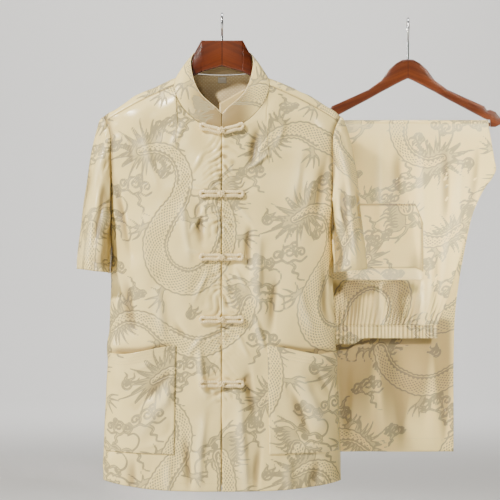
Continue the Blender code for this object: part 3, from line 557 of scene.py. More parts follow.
def wood(name, dark, light, middle=None, centre=0.0):
    # varnished wood whose grain runs down both sloping arms and meets at the middle, where it may be lighter
    material, tree, shader = newMaterial(name)
    x, y, z = split(placed(tree))
    out, slope = absolute(minus(x, centre)), 0.42
    level = plus(z, times(out, slope))
    where = addNode("CombineXYZ", (times(out, 5.0), times(y, 60.0), times(level, 130.0))).outputs[0]
    grain = noise(where, 1.6, 6.0, 0.62)
    streak = fade(grain, 0.36, 0.66)
    colour = mixColour(streak, tint(dark), tint(light))
    if middle:
        pale = mixColour(streak, tint(middle, 0.75), tint(middle))
        colour = mixColour(fade(out, 0.0, 0.075, 0.75, 0.0), colour, pale)
    joint = fade(out, 0.0003, 0.0008)
    coat(shader, mixColour(joint, tint(dark, 0.4), colour), 0.28, bump(grain, 0.0002, 0.5))
    shader.inputs["Coat Weight"].default_value = 0.25
    shader.inputs["Coat Roughness"].default_value = 0.08
    return material


def steel(name):
    material, tree, shader = newMaterial(name)
    shade = noise(placed(tree, scale=(1, 1, 0.3)), 300.0, 2.0)
    colour = mixColour(shade, (0.55, 0.56, 0.58, 1), (0.74, 0.75, 0.77, 1))
    coat(shader, colour, fade(shade, 0.3, 0.7, 0.12, 0.24))
    shader.inputs["Metallic"].default_value = 1.0
    return material


silk = jacquard("jacquardSilk", cream, greyCream)
# the collar's silk, with painted shade near its centre front
collarShadedSilk = jacquard("collarShadedSilk", cream, greyCream, (0.29, 0.20, 0.085, 1))
wrongSide = reverseCloth("jacquardReverse", (0.74, 0.58, 0.31, 1), (0.90, 0.77, 0.50, 1))
collarLining = satin("collarLining", (0.46, 0.33, 0.16), 0.34)
plainSatin = satin("plainSatin", (0.62, 0.46, 0.19), 0.34)
tape = satin("labelTape", (0.70, 0.66, 0.55), 0.6, 300.0)
cordCloth = cordSatin("satinCord", (0.88, 0.72, 0.38), (0.74, 0.57, 0.27))
thread = satin("thread", (0.60, 0.46, 0.22), 0.5, 400.0)
jacketWood = wood("reddishWood", (0.028, 0.004, 0.001), (0.075, 0.011, 0.002), (0.17, 0.035, 0.006))
trouserWood = wood("orangeWood", (0.07, 0.013, 0.002), (0.16, 0.036, 0.007), centre=0.352)
chrome = steel("steelWire")

# The jacket's body. a runs from the centre (0) to the side (1 right, -1 left); v from the shoulder ridge
# (0) to the hem, 1 at the front and -1 at the back.

jacket = dict(neckX=89.0, neckZ=-118.0, neckTopZ=-93.0, tipX=227.0, tipZ=-192.0, crown=4.6, chestHalf=206.0,
              hemHalf=221.0, hemZ=-882.0, hemRise=18.0, sidePower=2 / 2.6, topShare=0.0876, armShare=0.358,
              armFlare=32.0, armTipX=222.0, seamShare=0.0188, neckFrontZ=-217.0, neckPower=1.72,
              backNeckV=-0.062, front=(36.0, 26.0), back=(34.0, 28.0), wall=1.6, seam=0.3)
topV = jacket["topShare"] * pi / 2 / (1 - jacket["topShare"] + jacket["topShare"] * pi / 2)
sidePower = jacket["sidePower"]

# largest folds: face, x at both ends, z at both ends, half width and height
jacketFolds = (
    ("front", 46, 82, -390, -602, 19, 6.0), ("front", -62, -78, -290, -650, 24, 4.0),
    ("front", 128, 118, -300, -640, 26, 4.0), ("front", -150, -138, -250, -600, 24, 4.5),
    ("front", 34, 42, -600, -1000, 22, 4.5), ("front", -38, -46, -620, -1000, 22, 4.0),
    ("back", -92, -122, -300, -1050, 36, 8.0), ("back", 6, -8, -420, -1080, 34, 6.0),
    ("back", 96, 126, -320, -1040, 38, 7.5),
)


def ridgeZ(x):
    # shoulder slope with a slight crown, and the rise inside the neck
    j = jacket
    x = np.abs(x)
    share = (x - j["neckX"]) / (j["tipX"] - j["neckX"])
    shoulder = j["neckZ"] + (j["tipZ"] - j["neckZ"]) * share + j["crown"] * np.sin(pi * np.clip(share, 0, 1))
    neck = j["neckTopZ"] + (j["neckZ"] - j["neckTopZ"]) * (np.minimum(x, j["neckX"]) / j["neckX"]) ** 2.5
    return np.where(x < j["neckX"], neck, shoulder)


def hemZ(x):
    return jacket["hemZ"] + jacket["hemRise"] * (np.abs(x) / jacket["hemHalf"]) ** 3


def fall(v):
    # share of the way down: a quarter ellipse over the shoulder, then straight
    v, top = np.abs(v), jacket["topShare"]
    over = top * (1 - np.cos(pi / 2 * np.minimum(v / topV, 1)))
    return over + (1 - top) * np.maximum(v - topV, 0) / (1 - topV)


def fallToV(share):
    top = jacket["topShare"]
    over = topV * 2 / pi * np.arccos(np.clip(1 - share / top, 0, 1))
    return np.where(share < top, over, topV + (share - top) * (1 - topV) / (1 - top))


def halfWidth(share):
    j = jacket
    low = j["chestHalf"] + (j["hemHalf"] - j["chestHalf"]) * smooth((share - 0.40) / 0.60)
    return low + j["armFlare"] * smooth((j["armShare"] - share) / j["armShare"])


def depth(v):
    turn = np.sin(pi / 2 * np.minimum(np.abs(v) / topV, 1))
    lower = smooth(fall(v) / 0.45)
    front, back = jacket["front"], jacket["back"]
    return np.where(v < 0, back[0] * turn + back[1] * lower, front[0] * turn + front[1] * lower)


def foldHeight(x, z, v):
    height = np.zeros_like(x)
    for face, topX, lowX, topZ, lowZ, width, rise in jacketFolds:
        t = (z - topZ) / (lowZ - topZ)
        crest = bell(x, topX + (lowX - topX) * t, width) * np.sin(pi * np.clip(t, 0, 1)) ** 1.5
        height = height + np.where((v >= 0) == (face == "front"), rise * crest, 0.0)
    return height


def body(a, v):
    # a superellipse section at every height between the shoulder line and the hem, plus the largest folds
    a, v = np.broadcast_arrays(np.asarray(a, float), np.asarray(v, float))
    share = fall(v)
    x = halfWidth(share) * signedPower(np.sin(a * pi / 2), sidePower)
    across = signedPower(np.cos(a * pi / 2), sidePower)
    z = ridgeZ(x) + (hemZ(x) - ridgeZ(x)) * share
    out = depth(v) * across + foldHeight(x, z, v) * smooth(share / 0.05) * smooth(across / 0.6)
    return np.stack([x, np.where(v < 0, out, -out), z], axis=-1)


def bodyTurns(a, v):
    # the outward direction and the direction of growing a
    step = 1e-4
    alongA = unit(body(a + step, v) - body(a - step, v))
    alongV = unit(body(a, v + step) - body(a, v - step))
    return unit(np.cross(alongV, alongA)), alongA


def bodyMoved(a, v, out):
    return body(a, v) + bodyTurns(a, v)[0] * np.asarray(out)[..., None]


def placeOnFront(x, z):
    v = fallToV((ridgeZ(x) - z) / (ridgeZ(x) - hemZ(x)))
    ratio = np.clip(np.abs(x) / halfWidth(fall(v)), 0, 1)
    return np.sign(x) * 2 / pi * np.arcsin(ratio ** (1 / sidePower)), v


def armSide(v):
    # a of the body's edge: the side seam, and above it the armhole
    share, j = fall(v), jacket
    edge = j["chestHalf"] + (j["armTipX"] - j["chestHalf"]) * np.maximum(0, 1 - share / 0.08) ** 1.5
    ratio = np.clip(edge / halfWidth(share), 0, 1)
    return np.where(share >= j["armShare"], 1.0, 2 / pi * np.arcsin(ratio ** (1 / sidePower)))


underarmV = float(fallToV(np.array(jacket["armShare"])))
seamV = float(fallToV(np.array(jacket["seamShare"])))
sideRows = np.linspace(1.0, underarmV, 172)
frontArmRows = np.concatenate([np.linspace(underarmV, topV, 64)[1:], np.linspace(topV, seamV, 22)[1:]])
backArmRows = -np.concatenate([np.linspace(underarmV, topV, 58)[1:], np.linspace(topV, 0, 20)[1:],
                               -np.linspace(0, seamV, 8)[1:]])
evenTurns = np.radians(np.linspace(90, 0, 8))


def turnsAt(stops, power):
    # the turns at which a neckline of this power passes the given x
    return np.arccos(np.clip((np.asarray(stops) / jacket["neckX"]) ** (1 / power), 0, 1))


def neckStops(count):
    return np.concatenate([[0], np.linspace(2.4, 82.5, count), [89.0]])


def frontNeckline(turns):
    j = jacket
    seamZ = ridgeZ(j["neckX"]) + (hemZ(j["neckX"]) - ridgeZ(j["neckX"])) * j["seamShare"]
    x = np.maximum(j["neckX"] * np.cos(turns).clip(0) ** (2 / j["neckPower"]), j["seam"])
    z = seamZ + (j["neckFrontZ"] - seamZ) * np.sin(turns) ** (2 / j["neckPower"])
    return placeOnFront(x, z)


def backNeckline(turns):
    x = jacket["neckX"] * np.cos(turns).clip(0) ** 0.9
    v = seamV + (jacket["backNeckV"] - seamV) * np.sin(turns).clip(0) ** 0.9
    return 2 / pi * np.arcsin((x / halfWidth(fall(v))) ** (1 / sidePower)), v


def panelColumns(neckA, neckV, shoulder):
    # each column's share of the way to the side edge, and v at its upper end
    shares = neckA / armSide(neckV)
    outer = np.linspace(shares[-1], 1.0, shoulder + 1)[1:]
    return np.concatenate([shares, outer]), np.concatenate([neckV, np.full(len(outer), neckV[-1])])


def rowPlaces(rows, top, level):
    # below the level all columns have the same rows; above it they share out the way to their upper end
    way = np.clip((level - rows) / (level - seamV), 0, 1)[:, None]
    return np.where(way > 0, level + way * (top[None] - level + 0.0004 * np.sign(level)), rows[:, None])


def frontGrid(side):
    shares, top = panelColumns(*frontNeckline(turnsAt(neckStops(38), 2 / jacket["neckPower"])), 50)
    v = rowPlaces(np.concatenate([sideRows, frontArmRows]), top, 0.34)
    return side * shares[None] * armSide(v) * 0.9995, v


def backGrid():
    half, top = panelColumns(*backNeckline(turnsAt(neckStops(29), 0.9)), 42)
    shares = np.concatenate([-half[:0:-1], half])
    top = np.concatenate([top[:0:-1], top])
    v = rowPlaces(np.concatenate([-sideRows, backArmRows]), top, -0.26)
    return shares[None] * armSide(v) * 0.9995, v


def gridNormals(points, wrap=False):
    across = np.roll(points, -1, 1) - np.roll(points, 1, 1) if wrap else np.gradient(points, axis=1)
    return unit(np.cross(across, np.gradient(points, axis=0)))


def facing(points, row, column, back=False):
    # a grid's normals, turned so that the one at the given place points to the front, or to the back
    normal = gridNormals(points)
    return normal * np.sign(normal[row, column, 1]) * (1 if back else -1)


def creases(x, z, table):
    # soft creases: along each line a half sine, across it a bell that is steeper on one side
    height = np.zeros(np.broadcast(x, z).shape)
    for startX, startZ, endX, endZ, width, rise in table:
        length = np.hypot(endX - startX, endZ - startZ)
        dx, dz = (endX - startX) / length, (endZ - startZ) / length
        along = ((x - startX) * dx + (z - startZ) * dz) / length
        side = (x - startX) * dz - (z - startZ) * dx
        side = side + 0.14 * width * np.sin(along * 7 + startX)
        crest = bell(side, 0, width * np.where(side > 0, 1.25, 0.75))
        height = height + rise * crest * np.sin(pi * np.clip(along, 0, 1)) ** 1.3
    return height


# creases: x and z of both ends, half width and height, in millimetres
frontCreases = (
    (-150, -205, -118, -330, 7.9, 3.8), (-198, -290, -168, -470, 6.5, -4.5),
    (-60, -190, -100, -262, 5.8, 3.2), (-45, -340, -34, -440, 7.2, -6.2), (-74, -330, -58, -470, 6.5, 3.8),
    (-22, -348, -62, -412, 4.3, 3.4), (-20, -466, -54, -540, 4.3, 3.8), (-24, -586, -70, -640, 5.1, 4.0),
    (-43, -606, -30, -716, 5.8, 6.9), (-24, -330, -66, -322, 3.6, 2.5), (-26, -446, -70, -438, 3.6, 2.4),
    (-182, -480, -158, -604, 10.1, -5.2), (-120, -500, -104, -612, 9.3, 4.9),
    (-92, -560, -60, -608, 5.8, -3.4), (-30, -720, -44, -890, 7.2, 5.8), (-66, -760, -58, -900, 6.5, -5.2),
    (-100, -812, -96, -900, 8.7, 4.0), (-160, -812, -170, -900, 10.1, -4.0),
    (-176, -215, -160, -300, 6.5, -2.5), (-28, -250, -58, -300, 4.3, 2.9), (72, -200, 50, -296, 7.2, -6.1),
    (92, -258, 44, -292, 3.6, 4.9), (118, -195, 96, -262, 6.5, 3.2), (150, -230, 128, -380, 10.1, 4.2),
    (197, -250, 172, -400, 8.7, -4.9), (24, -350, 64, -398, 4.3, 3.2), (52, -380, 48, -490, 6.5, -6.9),
    (70, -400, 66, -560, 7.2, 5.2), (100, -470, 90, -604, 7.9, -5.2), (22, -466, 50, -520, 4.3, 3.8),
    (20, -690, 58, -664, 4.3, -3.2), (60, -556, 80, -626, 5.1, 8.1), (46, -640, 60, -760, 8.7, -5.8),
    (34, -700, 46, -900, 7.2, 6.2), (70, -780, 62, -900, 6.5, -5.2), (140, -500, 168, -604, 10.1, 4.5),
    (190, -450, 196, -604, 7.2, -4.2), (120, -812, 128, -900, 8.7, 4.0), (176, -812, 168, -900, 9.3, -4.2),
    (26, -584, 52, -640, 4.3, 3.4), (172, -300, 150, -372, 5.8, 2.9),
)
backCreases = (
    (-150, -200, -120, -340, 12.6, 4.1), (150, -205, 126, -330, 11.7, 3.6),
    (-60, -190, -84, -300, 10.8, 2.8), (58, -196, 80, -290, 11.7, -3.0), (-20, -230, -34, -420, 14.4, -3.6),
    (26, -240, 30, -400, 13.5, 3.0), (-190, -300, -160, -470, 9.9, -3.8),
    (190, -290, 168, -450, 10.8, -3.6), (-120, -420, -140, -700, 13.5, 4.5),
    (-70, -480, -60, -760, 12.6, -4.1), (-20, -520, -26, -880, 11.7, 3.8), (36, -500, 30, -860, 12.6, -3.8),
    (84, -460, 90, -740, 12.6, 4.3), (140, -430, 150, -690, 13.5, -4.5),
    (-176, -560, -170, -890, 11.7, 3.6), (176, -600, 182, -890, 10.8, 3.6),
    (-104, -700, -98, -900, 11.7, -3.2), (112, -700, 108, -900, 10.8, -3.6), (64, -740, 58, -900, 9.9, 3.2),
    (-50, -780, -56, -900, 9.9, 3.0), (-164, -330, -120, -400, 8.1, 2.7), (166, -340, 128, -396, 8.1, 2.4),
    (-96, -330, -60, -420, 9, -2.4), (104, -350, 70, -440, 9.9, -2.7),
)
frogHeights = np.array([-218.0, -335.0, -451.0, -566.0, -684.0])
pocket = dict(inner=86.0, wide=128.0, topInner=-614.0, topOuter=-629.0, lowInner=-814.0, lowOuter=-809.0,
              gape=12.0, droop=8.0, gapeShare=0.4, rows=96, columns=66, shade=1.7, shadeHigh=7.0)
# turned hems: height, softness of the upper edge, rise, and the lines, depth and width of the stitched dips
bodyHem = (14.0, 3.0, 0.55, (17.0,), 0.5, 1.3)
sleeveHem = (19.0, 3.0, 0.5, (22.0,), 0.5, 1.4)
pocketHem = (18.0, 2.0, 0.35, (3.0, 8.5, 14.0, 19.5), 0.3, 0.9)
seatHem = (20.0, 2.0, 0.3, (4.0, 21.0), 0.3, 0.9)


def hemFold(above, top, soft, rise, lines, dip, width):
    return rise * (1 - smooth((above - top) / soft)) - dip * sum(bell(above, line, width) for line in lines)


def pocketTop(across):
    # height of a pocket's drooping mouth, by its share of the way from the inner to the outer edge
    p = pocket
    return p["topInner"] + (p["topOuter"] - p["topInner"]) * across - p["droop"] * np.sin(pi * across) ** 2


def mouthShade(x, z):
    # painted shade in the slot above each pocket's mouth
    across = np.clip((np.abs(x) - pocket["inner"]) / pocket["wide"], 0, 1)
    return pocket["shade"] * bell(z, pocketTop(across) + 4.0, pocket["shadeHigh"]) * np.sin(pi * across)


def unevenLie(x, z, seed, wide, fine):
    # how the cloth swells between its creases: wide swells and finer ones
    return 4.0 * ripple(x, z, seed, 6, wide) + 1.3 * ripple(x, z, seed + 1, 6, fine)


def softFront(x, z):
    # creases and uneven lie, the same for all that is sewn to the front
    return creases(x, z, frontCreases) + unevenLie(x, z, 3, 95.0, 40.0)


crinkle = dict(reach=25.0, top=-214.0, low=-760.0, pitch=13.5, slant=0.8, waver=22.0, ridge=1.1, knobs=1.6)


def pucker(x, z):
    # the crinkled strip beside the opening: short slanting ridges that fade away from it
    c = crinkle
    near = bell(x, 0, c["reach"]) * smooth((z - c["low"]) / 80.0) * smooth((c["top"] - z) / 30.0)
    near = near * (0.65 + 0.35 * np.sin(z / 23.0 + 1.3 * np.sin(z / 57.0)))
    along = z + c["slant"] * np.abs(x) + c["waver"] * ripple(x, z, 8, 5, 70.0)
    ridges = np.sin(2 * pi * along / c["pitch"])
    return c["ridge"] * near * ridges + c["knobs"] * near * ripple(x, z, 11, 6, 18.0)


def gapeAt(z):
    # how far each front edge stands back between two knots
    knots = np.concatenate([[-205.0], frogHeights, [-910.0]])
    return 0.5 * np.sin(pi * np.interp(-z, -knots, np.arange(len(knots)))) ** 2


# the dip beside an armhole, in columns and in rows below it
armSeam = dict(deep=1.5, wide=3.5, shade=0.95, shadeWide=4.0, below=18, dipBelow=12)


def besideArm(edge, row):
    # a panel's dip along its armhole, the shade in it and its share; edge counts columns from the armhole
    s, past = armSeam, row - len(sideRows)
    near = smooth((past + s["below"]) / s["below"])
    dip = np.where(past >= -s["dipBelow"], -s["deep"] * bell(edge, 0, s["wide"]) * near, 0)
    return dip, s["shade"] * bell(edge, 0, s["shadeWide"]) * near, near


def makeFront(side, hand):
    # creases, crinkles and the hem, none of them at the seams; then the armhole's dip and the rolled edge
    a, v = frontGrid(side)
    flat = body(a, v)
    x, z = flat[..., 0], flat[..., 2]
    rows, columns = a.shape
    row, edge = np.arange(rows)[:, None], columns - 1 - np.arange(columns)[None]
    fromTop = rows - 1 - row
    seams = smooth(fromTop / 6) * np.where(row < len(sideRows), smooth(edge / 6), 1.0)
    dip, shade, near = besideArm(edge, row)
    crisp = 0.8 * bell(edge, 7, 4.0) * ripple(0 * x + z, z, 21 + side, 4, 30.0) * near
    roll = -1.0 * (1 - smooth(np.abs(x) / 3.2))
    out = (softFront(x, z) + pucker(x, z) + hemFold(z - hemZ(x), *bodyHem) + crisp) * seams
    points = bodyMoved(a, v, out + dip + roll * smooth(fromTop / 3))
    points[..., 0] += side * gapeAt(z) * (1 - smooth(np.abs(x) / 18.0)) * smooth(fromTop / 8)
    cloth = clothPlaces(flat, 0, jacket["hemZ"], 2) * [side, 1]
    # painted light: painted shade in the hollows of creases, folds and crinkles and painted highlight on
    # their ridges; painted shade in the slot above the pocket, beside the armhole and along the shoulder seam
    paintedLight = creases(x, z, frontCreases) / 4.5 + foldHeight(x, z, v) / 14 + 0.8 * pucker(x, z)
    shoulder = 1.2 * bell(fromTop, 0, 1.3) * smooth((np.abs(x) - 70.0) / 10.0)
    woven = weave(cloth, (152, 265), 0, paintedLight - mouthShade(x, z) - shade - shoulder)
    piece = putCloth("front" + hand.title(), points, bodyTurns(a, v)[0], (silk, wrongSide), jacket["wall"],
                     woven, cloth)
    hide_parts("front_" + hand)
    normal = gridNormals(points) * (-side)
    return points, [(points[5], normal[5]), (points[-4, 39:], normal[-4, 39:])]


def stitchMesh(name, lines):
    # rows of thread dashes joined in one mesh: each is a diamond section that tapers to both ends
    pitch, long, thick, ends = 3.4, 2.4, 0.5, 0.35
    allPoints = []
    for points, outward in lines:
        way = wayAlong(points)
        at = np.arange(pitch / 2, way[-1] - pitch / 2, pitch)

        def along(shift, values):
            return np.stack([np.interp(at + shift, way, column) for column in values.T], axis=-1)

        normal = unit(along(0, outward))
        ahead = unit(along(long / 2, points) - along(-long / 2, points))
        side = np.cross(normal, ahead)
        ring = np.stack([side, normal, -side, -normal], axis=1)
        size = thick / 2 * np.array([ends, 1.0, ends])
        centre = np.stack([along(shift, points) for shift in (-long / 2, 0, long / 2)], axis=1)
        centre[:, 1] += normal * 0.12
        allPoints.append((centre[:, :, None] + ring[:, None] * size[None, :, None, None]).reshape(-1, 12, 3))
    points = np.concatenate(allPoints)
    quads = np.concatenate([gridQuads(3, 4, True)[:, ::-1], [[0, 1, 2, 3], [11, 10, 9, 8]]])
    faces = (quads[None] + 12 * np.arange(len(points))[:, None, None]).reshape(-1, 4)
    putMesh(name, points, faceOutward(points, faces, points - points.mean(1, keepdims=True)), thread)


def makeBack():
    a, v = backGrid()
    flat = body(a, v)
    x, z = flat[..., 0], flat[..., 2]
    rows, columns = a.shape
    row, place = np.arange(rows)[:, None], np.arange(columns)[None]
    edge = np.minimum(place, columns - 1 - place)
    seams = smooth((rows - 1 - row) / 8) * np.where(row < len(sideRows), smooth(edge / 6), 1.0)
    dip, shade, _ = besideArm(edge, row)
    folded = creases(x, z, backCreases) * (v < 0)
    out = folded + unevenLie(x, z, 5, 105.0, 42.0) + hemFold(z - hemZ(x), *bodyHem)
    points = bodyMoved(a, v, out * seams + dip)
    cloth = clothPlaces(flat, columns // 2, jacket["hemZ"], 2) * [-1, 1]
    # painted light: painted shade in the hollows of creases and folds, painted highlight on their ridges, and
    # painted shade beside the armholes
    woven = weave(cloth, (90, 120), 0, folded / 4.5 + foldHeight(x, z, v) / 14 - shade)
    piece = putCloth("backPanel", points, bodyTurns(a, v)[0], (silk, wrongSide), jacket["wall"], woven, cloth)
    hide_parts("back_panel")
    return points, [(points[5], facing(points, 60, columns // 2, True)[5])]


hands = ((-1, "left"), (1, "right"))
frontLines, frontPoints = {}, {}
for side, hand in hands:
    frontPoints[side], frontLines[side] = makeFront(side, hand)
print("fronts:", frontPoints[1].shape)
backPoints, backLines = makeBack()
print("back:", backPoints.shape)

# the turn in degrees round each sleeve at which its painted shade lies, on the inner side in the hollow
# beside the body
sleeve = dict(x=241.0, z=-477.0, halfX=29.0, halfY=75.0, tilt=4.0, skew=15.0, power=2.4, out=28.0, front=15.0,
              underarm=0.7, rows=82, long=250.0, sink=19.0, hollowShade={-1: 44, 1: 60})
# creases: turn in degrees round the sleeve, from the underarm over the front, and share of the way to the
# cuff, at both ends; then half width and height in millimetres
sleeveCreases = (
    (60, 0.05, 80, 0.55, 10.8, 3.1), (100, 0.10, 112, 0.80, 12.6, -3.9), (140, 0.03, 150, 0.50, 10.8, 3.1),
    (75, 0.50, 66, 1.05, 10.8, -3.1), (130, 0.50, 124, 1.05, 10.8, 3.4), (165, 0.20, 172, 0.90, 11.7, -2.7),
    (200, 0.10, 190, 0.60, 12.6, 3.1), (225, 0.30, 235, 0.95, 11.7, -3.5), (255, 0.05, 262, 0.60, 10.8, 3.4),
    (290, 0.30, 285, 1.00, 12.6, 3.1), (320, 0.10, 316, 0.70, 9.9, -2.9), (40, 0.30, 36, 0.90, 9, 2.5),
    (92, 0.02, 70, 0.22, 6.3, 2.5), (118, 0.02, 128, 0.20, 5.4, -2.3), (250, 0.02, 268, 0.20, 6.3, -2.3),
)


def makeSleeve(side, hand):
    # rings from the armhole's edge to the cuff's superellipse, swollen at the top and to the front
    s = sleeve
    under = len(sideRows) - 1
    outermost = -1 if side > 0 else 0
    edge = np.concatenate([frontPoints[side][under:, -1], backPoints[under + 1:-1, outermost][::-1]])
    v = np.concatenate([[underarmV], frontArmRows, backArmRows[-2::-1]])[:len(edge)]
    away = bodyTurns(side * armSide(v), v)[1] * side
    rim = wayAlong(np.vstack([edge, edge[:1]]))
    turn = rim[:-1] / rim[-1] * 2 * pi
    degrees = np.degrees(turn)[None]
    low = np.clip(np.cos(turn), 0, 1) ** 2
    start = edge + away * jacket["seam"] + np.stack([side * s["underarm"] * low, 0 * low, 0 * low], axis=-1)
    inward, forward = (signedPower(f(turn), 2 / s["power"]) for f in (np.cos, np.sin))
    x = s["x"] - s["halfX"] * inward - s["skew"] * np.abs(forward) ** 1.5
    cuff = np.stack([side * x, -s["halfY"] * forward, s["z"] - s["tilt"] * np.cos(turn)], axis=-1)
    way = np.linspace(0, 1, s["rows"])[:, None] ** 1.12
    long = s["long"]
    down, toCuff = way * long, (1 - way) * long
    points = start[None] + (cuff - start)[None] * way[..., None]
    swell = np.sqrt(way) * (1 - way)
    points[..., 0] += side * s["out"] * swell * np.sin(turn / 2) ** 4
    points[..., 1] -= s["front"] * swell * np.sin(turn)
    points[..., 1] += s["sink"] * bell(degrees, 50, 20) * smooth(way / 0.12)
    flat = points.copy()
    normal = gridNormals(points, True)
    middle = points[40] - points[40].mean(0)
    normal = normal * np.sign((normal[40, :, 0] * middle[:, 0]).sum())
    table = [(turn1, way1 * long, turn2, way2 * long, width, rise)
             for turn1, way1, turn2, way2, width, rise in sleeveCreases]
    out = creases(degrees, down, table)
    out = out + 2.2 * ripple(np.cos(turn)[None] * 60 + 0 * way, down, 30 + side, 5, 80.0)
    # painted shade on the inner side beside the body and along the armhole seam, and painted shade and
    # highlight in the creases' hollows and on their ridges
    inner = bell(degrees, s["hollowShade"][side], 22) + bell(degrees, 318, 20)
    seamShade = 1.5 * bell(down, 0, 11) * smooth((degrees - 20) / 20) * smooth((140 - degrees) / 30)
    paintedLight = out / 3.2 - 1.5 * inner * (1 - 0.35 * way) - seamShade
    ease = 1.6 * bell(way, 0.035, 0.03) * np.sin(turn / 2)[None] ** 2 * (1 + 0.35 * np.sin(degrees * 0.62))
    moved = (out + hemFold(toCuff, *sleeveHem)) * smooth(way / 0.05) + ease
    points = points + normal * moved[..., None]
    closed = np.concatenate([flat, flat[:, :1]], axis=1)
    cloth = (clothPlaces(closed[::-1], 0)[::-1] * [side, 1])[:, :-1]
    piece = putCloth("sleeve" + hand.title(), points, normal, (silk, wrongSide), jacket["wall"],
                     weave(cloth, (60 + 80 * side, -40), 0, paintedLight), cloth, True)
    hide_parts("sleeve_" + hand)
    hemRow = -8
    return [tuple(np.vstack([ring[hemRow], ring[hemRow, :1]]) for ring in (points, normal))]


sleeveLines = [line for side, hand in hands for line in makeSleeve(side, hand)]
print("sleeves done")

# The collar's upper edge from the centre front (share 0) over the shoulder seam (1) to the back (2), as x, y
# and z
collar = dict(wall=2.0, seam=0.5, bulge=1.6, rows=22, quarter=44, middle=(0.0, -10.0, -110.0))
collarTop = ((0.00, 0.8, -41.0, -187.0), (0.14, 9.0, -40.5, -178.0), (0.29, 20.5, -38.5, -168.0),
             (0.43, 33.0, -35.5, -157.0), (0.57, 43.5, -31.5, -144.0), (0.71, 51.5, -26.0, -127.0),
             (0.86, 56.5, -18.0, -108.0), (1.00, 59.0, -9.0, -91.0), (1.20, 56.0, 4.0, -74.5),
             (1.50, 44.0, 19.0, -70.0), (2.00, 0.0, 28.0, -68.0))


def makeCollar():
    # rows from the neckline to the upper edge, bulged outwards by half a sine
    count = collar["quarter"]
    share = np.linspace(0, 1, count)
    turns = np.radians(np.linspace(90, 0, count))
    (frontA, frontV), (backA, backV) = frontNeckline(turns), backNeckline(turns)
    a = np.concatenate([frontA, backA[-2::-1]])
    v = np.concatenate([frontV, backV[-2::-1]])
    share = np.concatenate([share, 1 + share[1:]])
    halves = ((-1, a), (1, v), (1, share))
    a, v, share = (np.concatenate([sign * half, half[-2::-1]]) for sign, half in halves)
    side = np.where(np.arange(len(a)) < len(a) // 2, -1.0, 1.0)
    edge = body(a, v)
    across = unit(np.cross(bodyTurns(a, v)[0], np.gradient(edge, axis=0)))
    across = across * np.sign(((np.array(collar["middle"]) - edge) * across).sum(-1))[:, None]
    start = edge + across * collar["seam"]
    keys, *places = np.array(collarTop).T
    top = np.stack([throughRows(share, keys, values) for values in places], axis=-1)
    top[:, 0] *= side
    way = np.linspace(0, 1, collar["rows"])[:, None]
    points = start[None] + (top - start)[None] * way[..., None]
    normal = facing(points, 10, 0)
    uneven = 0.35 * ripple(share[None] * 110 * side[None], way * 40, 14, 5, 45.0)
    height = collar["bulge"] * np.sin(pi * way) + uneven * smooth(way / 0.15)
    points = points + normal * height[..., None]
    cloth = clothPlaces(points, len(a) // 2)
    piece = putCloth("standCollar", points, normal, (collarShadedSilk, collarLining), collar["wall"],
                     weave(cloth, (170, 180)), cloth)
    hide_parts("collar")
    rim = points[-1] - normal[-1] * 1.0 + np.array([0, 0, 0.4])
    putTube("collarPiping", sweep(rim, normal[-1], 1.05, 10), cordCloth)
    return [(points[2], normal[2]), (points[-3], normal[-3])]


collarLines = makeCollar()

underlap = dict(left=-5.0, right=42.0, leftTop=-166.0, rightTop=-137.0, low=-868.0, wall=1.2, deep=8.0,
                fromZ=-219.0, over=60.0)


def makeUnderlap():
    # a plain strip behind the opening, sunk away from the fronts below the neck
    u = underlap
    x = np.linspace(u["left"], u["right"], 14)[None]
    top = u["leftTop"] + (u["rightTop"] - u["leftTop"]) * (x - u["left"]) / (u["right"] - u["left"])
    way = np.linspace(0, 1, 160)[:, None]
    z = top + (u["low"] - top) * way
    x = np.broadcast_to(x, z.shape)
    a, v = placeOnFront(x, z)
    inwards = jacket["wall"] + 4 * jacket["seam"] + u["deep"] * smooth((z - u["fromZ"]) / u["over"])
    wavy = 0.25 * ripple(x, z, 17, 5, 40.0) * smooth(-(z - u["fromZ"]) / u["over"]) - 0.25
    points = bodyMoved(a, v, -inwards + wavy)
    piece = putCloth("underlapStrip", points, bodyTurns(a, v)[0], plainSatin, u["wall"], None,
                     clothPlaces(points))
    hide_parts("underlap")


makeUnderlap()
label = dict(halfX=8.0, topV=-0.066, lowV=-0.084, wall=0.8)


def makeLabel():
    v = np.linspace(label["topV"], label["lowV"], 12)[:, None]
    edge = 2 / pi * np.arcsin((label["halfX"] / halfWidth(fall(v))) ** (1 / sidePower))
    a, v = np.broadcast_arrays(np.linspace(-1, 1, 16)[None] * edge, v)
    deep = jacket["wall"] + 3 * jacket["seam"] + label["wall"]
    points = bodyMoved(a, v, np.full(a.shape, -deep))
    piece = putCloth("neckLabel", points, -bodyTurns(a, v)[0], tape, label["wall"], None, clothPlaces(points))
    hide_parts("neck_label")


makeLabel()
print("collar, underlap and label done")

# the pockets' own slanting folds, left and right
pocketCreases = {
    -1: (
        (-56, -655, -158, -786, 13.5, 7.1), (-72, -640, -168, -740, 9, -4.4),
        (-44, -690, -120, -800, 9, -3.7), (-120, -640, -172, -668, 7.2, 2.2),
        (-60, -770, -48, -812, 7.2, 2.4), (-96, -786, -160, -806, 6.3, 2.0),
    ),
    1: (
        (132, -652, 196, -778, 13.5, 7.5), (112, -664, 172, -800, 9.9, -4.8),
        (160, -640, 204, -720, 8.1, -3.7), (84, -650, 92, -760, 9.9, 3.4), (70, -700, 74, -806, 7.2, -2.5),
        (120, -780, 190, -806, 6.3, 2.0),
    ),
}


